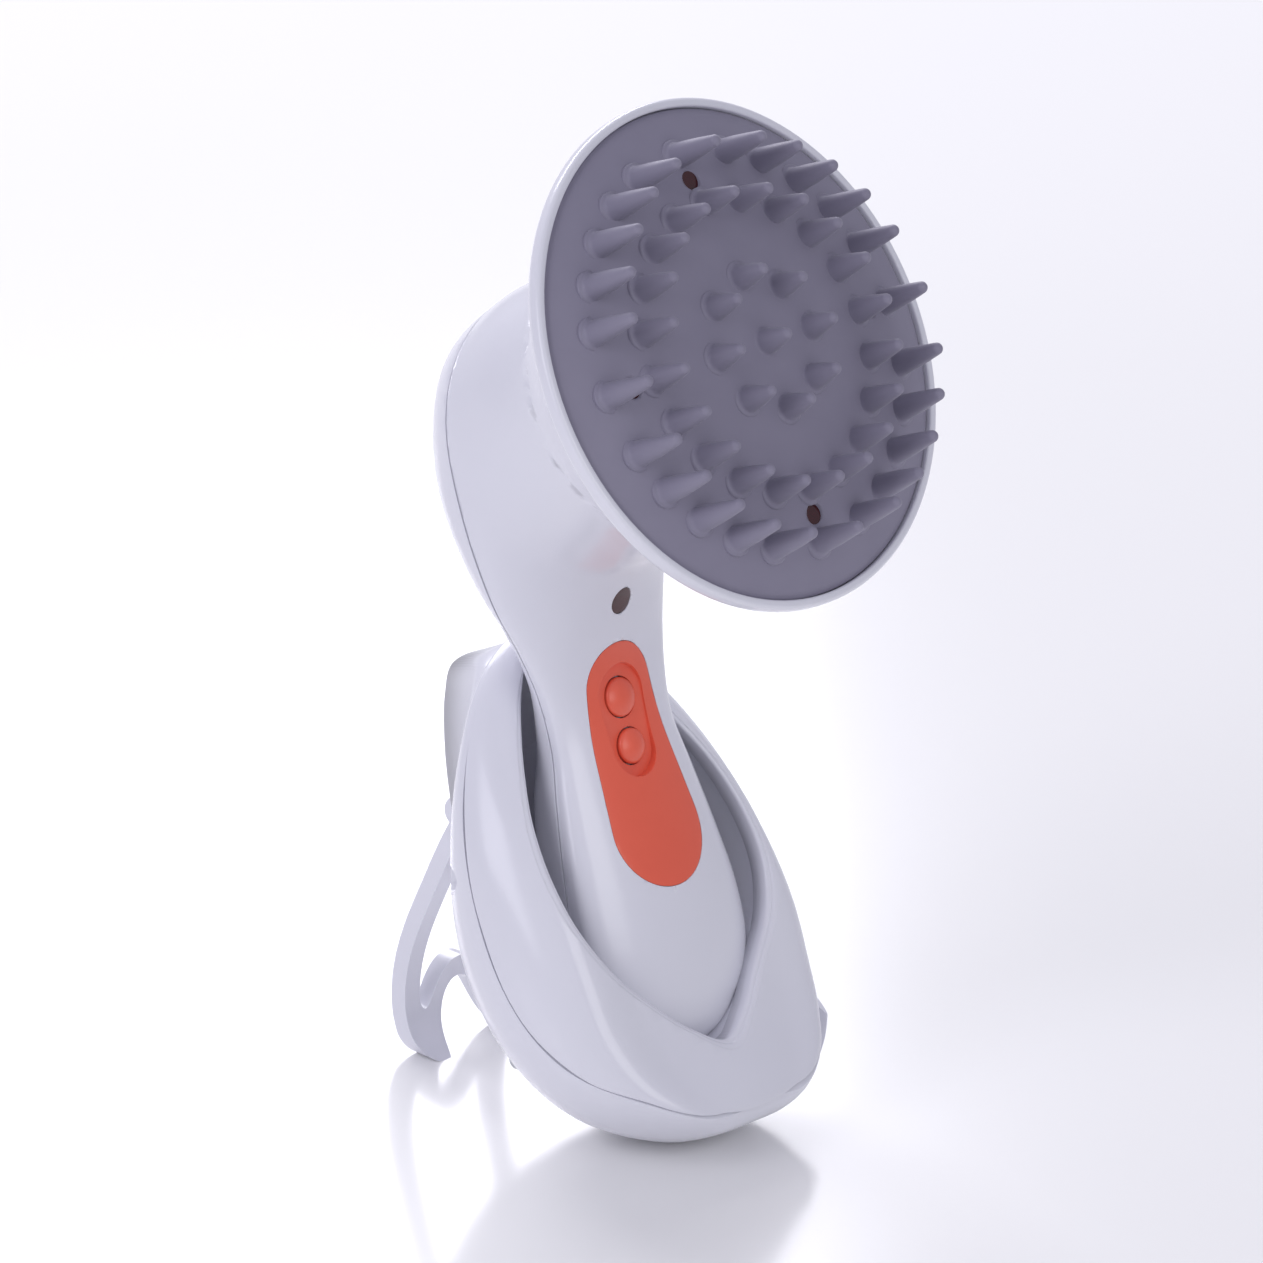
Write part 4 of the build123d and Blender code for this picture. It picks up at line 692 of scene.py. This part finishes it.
    def slot_outline(self, top: Point, bottom: Point, grow: float) -> list[Point]:
        """Lay out a slot with round ends of different radii.

        Args:
            top: Height and radius of its upper end.
            bottom: Height and radius of its lower end.
            grow: How far it is grown.

        Returns:
            Its corners in X and HANDLE z.
        """
        slope = math.degrees(math.asin((bottom[1] - top[1]) / (top[0] - bottom[0])))
        upper = rounded([], (0.0, top[0]), top[1] + grow, slope, 180 - slope, 32)
        return rounded(upper, (0.0, bottom[0]), bottom[1] + grow, 180 - slope, 360 + slope, 40)

    def along_handle(self, outline: list[Point], near: float, far: float) -> bmesh.types.BMesh:
        """Extrude an outline in X and HANDLE z along HANDLE y."""
        rings = [[HANDLE @ Vector((across, depth, up)) for across, up in outline] for depth in (near, far)]
        return lofted(rings)

    def round_outline(self, height: float, radius: float, tall: float | None = None) -> list[Point]:
        """Lay out a circle, or an ellipse when its half height is given, in X and HANDLE z."""
        angles = [math.tau * step / 48 for step in range(48)]
        return [(radius * math.cos(a), height + (tall or radius) * math.sin(a)) for a in angles]

    def shells(self) -> None:
        """Build the front housing and the rear cover with the thin gap between them."""
        big = [(-90.0, -170.0), (90.0, -170.0), (90.0, 90.0), (-90.0, 90.0)]
        behind = self.along_handle(big, self.parting - self.groove / 2, 140.0)
        front = combined(self.skin(), behind, Cut.REMOVE)
        outline = self.slot_outline(self.panel_top, self.panel_bottom, 0.0)
        front = combined(front, self.along_handle(outline, self.cut_from, self.pocket_floor), Cut.REMOVE)
        height, across, tall = self.indicator
        window = self.round_outline(height, across + self.window_gap, tall + self.window_gap)
        front = combined(front, self.along_handle(window, self.cut_from, self.window_floor), Cut.REMOVE)
        softened(front, self.edge_round)
        self.workshop.piece("front_shell", front, "massager", Slot.WHITE, ("front_housing",))
        ahead = self.along_handle(big, -60.0, self.parting + self.groove / 2)
        rear = combined(self.skin(), ahead, Cut.REMOVE)
        softened(rear, self.edge_round)
        self.workshop.piece("rear_shell", rear, "massager", Slot.WHITE, ("rear_cover",))

    def panel(self) -> None:
        """Build the coral panel with its dish and button holes."""
        outline = self.slot_outline(self.panel_top, self.panel_bottom, -self.panel_gap)
        block = self.along_handle(outline, self.cut_from, self.panel_back)
        plate = combined(lofted(self.handle_rings(0.0)), block, Cut.KEEP)
        outline = self.slot_outline(self.dish_top, self.dish_bottom, 0.0)
        plate = combined(plate, self.along_handle(outline, self.cut_from, self.dish_floor), Cut.REMOVE)
        for height, radius, _ in (self.power, self.mode):
            outline = self.round_outline(height, radius + self.button_gap)
            plate = combined(plate, self.along_handle(outline, self.cut_from, 60.0), Cut.REMOVE)
        softened(plate, self.panel_round, 3, 35)
        self.workshop.piece("coral_panel", plate, "massager", Slot.CORAL, ("control_panel",))

    def button(self, name: str, spot: Point3) -> None:
        """Turn one domed button.

        Args:
            name: The CAD node and body that it stands for.
            spot: Its HANDLE z, radius and the panel's HANDLE y at it.
        """
        height, radius, face = spot
        crown = face - self.button_proud
        sphere = (radius**2 + self.button_dome**2) / (2 * self.button_dome)
        outline: list[Point] = [(0.0, -crown)]
        for step in range(1, 12):
            across = (radius - 0.25) * step / 11
            outline.append((across, -(crown + sphere - math.sqrt(sphere**2 - across**2))))
        edge = -(crown + self.button_dome + 0.2)
        foot = -self.button_foot
        outline += [(radius - 0.05, edge), (radius, edge - 0.2), (radius, foot), (0.0, foot)]
        place = HANDLE @ Matrix.Translation((0.0, 0.0, height)) @ Matrix.Rotation(math.radians(90), 4, "X")
        cap = joined([(turned(outline, 64), place)])
        self.workshop.piece(name + "_cap", cap, name, Slot.CORAL, (name,))

    def window(self) -> None:
        """Build the dark oval window, flush with the shell and slightly domed."""
        block = self.along_handle(self.round_outline(*self.indicator), self.cut_from, self.lens_back)
        lens = combined(lofted(self.handle_rings(0.1)), block, Cut.KEEP)
        softened(lens, self.lens_round, 4, 35)
        self.workshop.piece("indicator_lens", lens, "massager", Slot.LENS, ("indicator_window",))

    def make(self) -> None:
        """Build the shell and what is set in it."""
        self.shells()
        self.panel()
        self.button("power_button", self.power)
        self.button("mode_button", self.mode)
        self.window()


# ---- Massage pad ------------------------------------------------------------------------------------


def ring_place(radius: float, angle: float) -> Matrix:
    """Return the move to a place on a ring round the pad's middle."""
    return Matrix.Translation((radius * math.cos(angle), radius * math.sin(angle), 0.0))


@dataclass
class MassagePad:
    """The domed silicone pad with its rings of tapered nubs."""

    workshop: Workshop
    radius: float = 50.0
    crown: float = 8.5
    seat: float = -2.6
    tip_plane: float = 15.5
    tip_radius: float = 1.25
    base_radius: float = 2.6
    foot_spread: float = 0.9
    outer_ring: float = 40.2
    outer_pitch: float = 13.5
    outer_group: int = 5
    middle_ring: float = 29.6
    middle_count: int = 20
    inner_ring: float = 13.5
    inner_count: int = 8
    lamp_ring: float = 34.7
    lamp_radius: float = 2.15
    lamp_count: int = 4

    def height(self, radius: float) -> float:
        """Return the dome's height at that radius."""
        sphere = (self.radius**2 + self.crown**2) / (2 * self.crown)
        return self.crown - sphere + math.sqrt(sphere**2 - radius**2)

    def dome(self) -> bmesh.types.BMesh:
        """Turn the pad's skin, with a soft edge that ends in the housing's recess.

        Returns:
            The skin as a closed mesh.
        """
        outline: list[Point] = [(0.0, self.height(0))]
        for step in range(1, 40):
            radius = 49.2 * step / 39
            outline.append((radius, self.height(radius)))
        outline = rounded(outline, (49.2, -0.72), 0.8, 78, 0, 5)
        outline += [(self.radius, self.seat), (46.6, self.seat), (46.6, -1.4), (0.0, -1.4)]
        return turned(outline, 160)

    def nub(self, radius: float) -> bmesh.types.BMesh:
        """Turn one tapered nub with a ball tip and a flowing foot.

        Args:
            radius: Its distance from the pad's centre, which gives the height of its foot.

        Returns:
            The nub as a closed mesh.
        """
        base = self.height(radius)
        tip_centre = self.tip_plane - self.tip_radius
        outline = rounded([], (0.0, tip_centre), self.tip_radius, 90, 6, 6)
        length = tip_centre - base - self.foot_spread
        for step in range(1, 7):
            share = step / 6
            bulge = 0.10 * math.sin(math.pi * share)
            across = self.tip_radius + (self.base_radius - self.tip_radius) * share + bulge
            outline.append((across, tip_centre - length * share))
        for step in range(1, 5):
            angle = math.radians(90 * step / 4)
            outline.append(
                (
                    self.base_radius + self.foot_spread * (1 - math.cos(angle)),
                    base + self.foot_spread * (1 - math.sin(angle)) - 0.12,
                )
            )
        outline += [(self.base_radius + self.foot_spread, base - 1.2), (0.0, base - 1.2)]
        return turned(outline, 28)

    def spots(self) -> list[tuple[float, float]]:
        """List the nubs' places as ring radius and angle.

        Returns:
            Radius in millimetres and angle in radians from the pad's x direction.
        """
        places = [(0.0, 0.0)]
        for quarter in range(4):
            places.append((self.outer_ring, math.radians(90 * quarter)))
            for step in range(self.outer_group):
                swing = self.outer_pitch * (step - (self.outer_group - 1) / 2)
                places.append((self.outer_ring, math.radians(90 * quarter + 45 + swing)))
        for radius, count in ((self.middle_ring, self.middle_count), (self.inner_ring, self.inner_count)):
            places += [(radius, math.tau * step / count) for step in range(count)]
        return places

    def drilled(self) -> bmesh.types.BMesh:
        """Cut the lamp holes through the dome.

        Returns:
            The dome with its holes, in millimetres.
        """
        hole = [(0.0, 12.0), (self.lamp_radius, 12.0), (self.lamp_radius, -5.0), (0.0, -5.0)]
        drills = []
        for step in range(self.lamp_count):
            angle = math.tau * step / self.lamp_count
            drills.append((turned(hole, 40), ring_place(self.lamp_ring, angle)))
        return combined(self.dome(), joined(drills), Cut.REMOVE)

    def make(self) -> None:
        """Build the pad as one piece of the massager."""
        parts = [(self.drilled(), HEAD)]
        for radius, angle in self.spots():
            parts.append((self.nub(radius), HEAD @ ring_place(radius, angle)))
        self.workshop.piece("silicone_pad", joined(parts), "massager", Slot.PAD, ("massage_pad",))


# ---- Charging cradle --------------------------------------------------------------------------------


@dataclass(frozen=True)
class Slice:
    """One cross-section of the cradle, square to the handle axis."""

    height: float
    front: float
    widest: float
    back: float
    half_width: float
    corner: float

    def row(self) -> tuple[float, ...]:
        """Return its sizes as one row, the height and the width first."""
        return (self.height, self.half_width, self.front, self.widest, self.back, self.corner)


@dataclass
class Cradle:
    """The boat-shaped charging cradle's front shell, with the mouth, its lip and the cup behind it."""

    workshop: Workshop
    wall: float = 2.4
    seam_gap: float = 0.35
    edge_round: float = 0.3
    flat_share: float = 0.7
    corner_turns: Point = (25.0, 55.0)
    back_turns: Point = (62.0, 30.0)
    mouth_reach: float = 95.0
    lip_width: float = 2.2
    lip_slope: Point = (1.0, 0.35)
    lip_start: Point = (0.25, 0.10)
    lip_turn: float = 0.95
    lip_depth: float = 5.0
    lip_wall: float = 0.9
    cup_front: tuple[Point, ...] = ((0.9, 3.0), (0.9, 12.0), (-0.6, 24.0))
    cup_back: tuple[Point, ...] = ((0.98, 74.0), (0.9, 79.0), (0.6, 80.0))
    cup_draft: float = -0.6
    mouth_floor: float = -138.0
    mouth_top: float = -54.8
    slices: list[Slice] = field(
        default_factory=lambda: [
            Slice(-157.4, 52.0, 55.0, 58.5, 4.6, 3.0),
            Slice(-155.6, 42.7, 53.0, 64.8, 13.1, 8.0),
            Slice(-152.5, 38.4, 53.5, 69.9, 20.4, 10.0),
            Slice(-147.5, 39.1, 55.5, 75.8, 27.8, 11.0),
            Slice(-140.0, 42.6, 58.5, 81.8, 33.6, 11.0),
            Slice(-130.0, 45.6, 62.0, 88.0, 36.8, 11.0),
            Slice(-118.0, 47.1, 65.0, 92.2, 37.9, 11.0),
            Slice(-105.0, 49.9, 67.5, 92.4, 37.4, 11.0),
            Slice(-92.0, 54.1, 69.0, 88.9, 35.7, 11.0),
            Slice(-80.0, 59.0, 70.5, 84.2, 32.2, 10.0),
            Slice(-68.0, 63.7, 71.8, 80.2, 25.9, 9.0),
            Slice(-58.0, 67.7, 72.8, 76.9, 17.8, 7.0),
            Slice(-53.2, 70.0, 73.1, 75.6, 10.4, 4.5),
            Slice(-51.0, 71.6, 73.2, 74.8, 4.6, 2.0),
        ]
    )
    seam: list[Point] = field(
        default_factory=lambda: [
            (73.5, -44.0),
            (70.3, -77.0),
            (67.8, -103.0),
            (61.5, -124.0),
            (51.5, -137.6),
            (42.2, -145.5),
            (38.4, -150.8),
            (36.0, -160.0),
        ]
    )
    mouth_side: list[Point] = field(
        default_factory=lambda: [
            (7.6, -133.9),
            (15.3, -126.5),
            (22.9, -117.8),
            (27.5, -107.2),
            (28.2, -97.5),
            (26.3, -86.7),
            (22.3, -77.3),
            (17.1, -68.3),
            (11.8, -61.2),
            (6.4, -56.4),
        ]
    )

    def outline(self, row: tuple[float, ...], inset: float) -> list[Point]:
        """Lay out one cross-section in X and HANDLE y.

        Args:
            row: A slice's sizes.
            inset: How far it is shrunk.

        Returns:
            A smooth closed outline.
        """
        _, half, front, widest, back, corner = row
        half, front, corner = half - inset, front + inset, max(corner - inset, 1.0)
        inner, ahead, behind = half - corner, widest - front, back - inset - widest
        right = [(self.flat_share * inner, front)]
        for turn in self.corner_turns:
            angle = math.radians(turn)
            right.append((inner + corner * math.sin(angle), widest - ahead * math.cos(angle)))
        right.append((half, widest))
        for turn in self.back_turns:
            angle = math.radians(turn)
            right.append((half * math.sin(angle), widest + behind * math.cos(angle)))
        left = [(-across, depth) for across, depth in reversed(right)]
        return smoothed([(0.0, widest + behind), *reversed(right), *reversed(left)], 10, closed=True)

    def rows(self) -> list[tuple[float, ...]]:
        """Pass smooth sizes through the slices, close together."""
        return smoothed([cut.row() for cut in self.slices], 6)

    def body(self, inset: float = 0.0) -> bmesh.types.BMesh:
        """Loft the whole cradle and cut it level with the ground.

        Args:
            inset: How far it is shrunk.

        Returns:
            A closed form in world metres.
        """
        rings = [
            [HANDLE @ Vector((across, depth, row[0])) for across, depth in self.outline(row, inset)]
            for row in self.rows()
        ]
        form = lofted(rings)
        cut = bmesh.ops.bisect_plane(
            form,
            geom=form.verts[:] + form.edges[:] + form.faces[:],
            plane_co=(0, 0, inset * MM),
            plane_no=(0, 0, -1),
            clear_outer=True,
        )
        rim = [edge for edge in cut["geom_cut"] if isinstance(edge, bmesh.types.BMEdge)]
        if rim:
            bmesh.ops.edgeloop_fill(form, edges=rim)
            bmesh.ops.recalc_face_normals(form, faces=form.faces)
        return form

    def seam_block(self, shift: float) -> bmesh.types.BMesh:
        """Build the block of everything in front of the seam.

        Args:
            shift: How far the seam is moved back.

        Returns:
            The closed block in world metres.
        """
        line = [(depth + shift, height) for depth, height in smoothed(self.seam, 8)]
        corners = line + [(-40.0, -160.0), (-40.0, -44.0)]
        rings = []
        for across in (-60, 60):
            rings.append([HANDLE @ Vector((across, depth, height)) for depth, height in corners])
        return lofted(rings)

    def mouth(self, grow: float) -> list[Point]:
        """Lay out the mouth's outline in X and HANDLE z, grown outward."""
        right = [(across + grow, height) for across, height in self.mouth_side]
        left = [(-across, height) for across, height in reversed(right)]
        corners = [(0.0, self.mouth_floor - grow), *right, (0.0, self.mouth_top + grow), *left]
        return smoothed(corners, 8, closed=True)

    def front_depth(self, across: float, height: float) -> float:
        """Find the front face's HANDLE y over a point.

        Args:
            across: The point's X.
            height: Its HANDLE z.

        Returns:
            HANDLE y of the front face there.
        """
        rows = self.rows()
        upper = next((i for i in range(1, len(rows)) if rows[i][0] >= height), len(rows) - 1)
        below, above = rows[upper - 1], rows[upper]
        share = (height - below[0]) / (above[0] - below[0])
        row = tuple(a + (b - a) * share for a, b in zip(below, above))
        ring = self.outline(row, 0.0)
        front = sorted(point for point in ring if point[1] <= row[3] + 0.01 and point[0] >= 0)
        target = abs(across)
        for near, far in zip(front, front[1:]):
            if near[0] <= target <= far[0]:
                reach = (target - near[0]) / max(far[0] - near[0], 1e-6)
                return near[1] + (far[1] - near[1]) * reach
        return row[3] if target > front[-1][0] else front[0][1]

    def mouth_ring(self, grow: float, drop: float) -> list[Vector]:
        """Lay the mouth's outline on the front face.

        Args:
            grow: How far it is grown outward.
            drop: How far it lies behind the face.

        Returns:
            Its ring of points in world metres.
        """
        ring = []
        for across, up in self.mouth(grow):
            ring.append(HANDLE @ Vector((across, self.front_depth(across, up) + drop, up)))
        return ring

    def front(self) -> None:
        """Build the front shell, its mouth cut to the lip's outer edge."""
        shell = combined(self.body(), self.seam_block(-self.seam_gap / 2), Cut.KEEP)
        shell = combined(shell, self.body(self.wall), Cut.REMOVE)
        outline = self.mouth(self.lip_width)
        rings = []
        for depth in (0.0, self.mouth_reach):
            rings.append([HANDLE @ Vector((across, depth, up)) for across, up in outline])
        shell = combined(shell, lofted(rings), Cut.REMOVE)
        softened(shell, self.edge_round)
        self.workshop.piece("cradle_front_shell", shell, "cradle", Slot.WHITE, ("cradle_front",))

    def lip(self) -> None:
        """Build the mouth's lip: a soft slope from the front face that turns down into the cup."""
        edge = self.lip_width - self.lip_start[0]
        level = self.lip_start[1]
        profile = [(self.lip_width, -0.02), (edge, level)]
        for step in range(1, 7):
            share = step / 6
            profile.append((edge - self.lip_slope[0] * share, level + self.lip_slope[1] * share**2))
        profile = rounded(profile, (self.lip_turn, 1.65), self.lip_turn, 270, 180, 7)
        profile += [(0.0, self.lip_depth), (self.lip_wall, self.lip_depth), (self.lip_wall, 3.2)]
        lip = lofted([self.mouth_ring(grow, drop) for grow, drop in profile], closed_ends=False)
        self.workshop.piece("cradle_lip", lip, "cradle", Slot.WHITE)

    def cup(self) -> None:
        """Build the inner cup that the handle stands in: a tub behind the lip, closed at its back."""
        rings = [self.mouth_ring(grow, drop) for grow, drop in self.cup_front]
        outline = self.mouth(self.cup_draft)
        middle = (self.mouth_floor + self.mouth_top) / 2
        for share, depth in self.cup_back:
            ring = []
            for across, up in outline:
                ring.append(HANDLE @ Vector((across * share, depth, middle + (up - middle) * share)))
            rings.append(ring)
        tub = lofted(rings, closed_ends=False)
        bmesh.ops.holes_fill(tub, edges=[edge for edge in tub.edges if edge.is_boundary][-len(rings[0]) :])
        bmesh.ops.reverse_faces(tub, faces=tub.faces)
        self.workshop.piece("cradle_tub", tub, "cradle", Slot.WHITE)

    def make(self) -> None:
        """Build the cradle."""
        self.front()
        self.lip()
        self.cup()


# ---- Stage ------------------------------------------------------------------------------------------


@dataclass
class Studio:
    """The pale floor, the backdrop, the lamps and the camera."""

    camera_place: tuple[float, float, float] = (-1.6739, -1.4691, 0.9985)
    lens_mm: float = 343.87

    def camera(self) -> None:
        """Place the camera."""
        data = bpy.data.cameras.new("camera")
        data.lens = self.lens_mm
        data.sensor_width = 36.0
        data.sensor_fit = "HORIZONTAL"
        data.clip_end = 50.0
        obj = bpy.data.objects.new("camera", data)
        right = Vector((0.675, -0.7363, 0.0486)).normalized()
        backward = Vector((-0.6962, -0.6136, 0.373)).normalized()
        up = backward.cross(right).normalized()
        right = up.cross(backward)
        turn = Matrix((right, up, backward)).transposed().to_4x4()
        obj.matrix_world = Matrix.Translation(self.camera_place) @ turn
        bpy.context.scene.collection.objects.link(obj)
        bpy.context.scene.camera = obj

    def floor(self) -> None:
        """Lay the pale glossy floor."""
        mesh = bmesh.new()
        bmesh.ops.create_grid(mesh, x_segments=2, y_segments=2, size=6.0)
        data = bpy.data.meshes.new("floor")
        mesh.to_mesh(data)
        mesh.free()
        obj = bpy.data.objects.new("floor", data)
        bpy.context.scene.collection.objects.link(obj)
        material = bpy.data.materials.new("lacquered_board_white")
        material.use_nodes = True
        tree = material.node_tree
        tree.nodes.clear()
        place = add_node(tree, "ShaderNodeTexCoord").outputs["Object"]
        noise = add_node(tree, "ShaderNodeTexNoise", {"Scale": 3.0, "Detail": 2.0}, {"Vector": place})
        tint = add_node(
            tree,
            "ShaderNodeMix",
            {"data_type": "RGBA", 6: linear("fdfcfb"), 7: linear("fafaf8")},
            {0: noise.outputs[0]},
        )
        shader = add_node(
            tree,
            "ShaderNodeBsdfPrincipled",
            {"Roughness": 0.16, "IOR": 1.5},
            {"Base Color": tint.outputs[2]},
        )
        add_node(tree, "ShaderNodeOutputMaterial", links={"Surface": shader.outputs[0]})
        data.materials.append(material)

    def lamp(self, name: str, place: Point3, aim: Point3, size: Point, power: float, colour: str) -> None:
        """Hang one soft lamp.

        Args:
            name: The lamp's name.
            place: Where it hangs.
            aim: The point that it faces.
            size: Width and height.
            power: Watts.
            colour: Hex colour of the light.
        """
        data = bpy.data.lights.new(name, "AREA")
        data.shape = "RECTANGLE"
        data.size, data.size_y = size
        data.energy = power
        data.color = linear(colour)[:3]
        obj = bpy.data.objects.new(name, data)
        towards = Vector(aim) - Vector(place)
        obj.rotation_euler = towards.to_track_quat("-Z", "Y").to_euler()
        obj.location = place
        bpy.context.scene.collection.objects.link(obj)

    def world(self) -> None:
        """Light the room softly, and show the camera and reflections a white surround."""
        world = bpy.data.worlds.new("surround")
        bpy.context.scene.world = world
        world.use_nodes = True
        tree = world.node_tree
        tree.nodes.clear()
        path = add_node(tree, "ShaderNodeLightPath")
        shown = add_node(
            tree,
            "ShaderNodeMath",
            {"operation": "MAXIMUM"},
            {0: path.outputs["Is Camera Ray"], 1: path.outputs["Is Transmission Ray"]},
        )
        ambient = add_node(tree, "ShaderNodeBackground", {"Color": linear("dcdcec"), "Strength": 0.55})
        backdrop = add_node(tree, "ShaderNodeBackground", {"Color": linear("fdfcff"), "Strength": 1.0})
        mixed = add_node(
            tree,
            "ShaderNodeMixShader",
            links={0: shown.outputs[0], 1: ambient.outputs[0], 2: backdrop.outputs[0]},
        )
        add_node(tree, "ShaderNodeOutputWorld", links={"Surface": mixed.outputs[0]})

    def make(self) -> None:
        """Set up the stage."""
        scene = bpy.context.scene
        scene.view_settings.view_transform = "Standard"
        self.camera()
        self.floor()
        self.world()
        self.lamp("window", (0.9, 1.6, 1.3), (0.0, 0.0, 0.08), (1.6, 1.2), 34.0, "fbfaff")
        self.lamp("left_soft", (-1.6, 0.2, 0.9), (0.0, 0.0, 0.1), (0.9, 1.2), 9.0, "f6f5ff")
        self.lamp("front_soft", (-0.3, -2.0, 1.1), (0.0, 0.0, 0.1), (1.2, 1.2), 9.0, "ffffff")


def main() -> None:
    """Dress the frame, build the new pieces and set the stage."""
    logging.basicConfig(level=logging.INFO)
    workshop = Workshop()
    workshop.dress_nodes()
    Housing(workshop).make()
    MassagePad(workshop).make()
    Cradle(workshop).make()
    Studio().make()


if __name__ == "__main__":
    main()
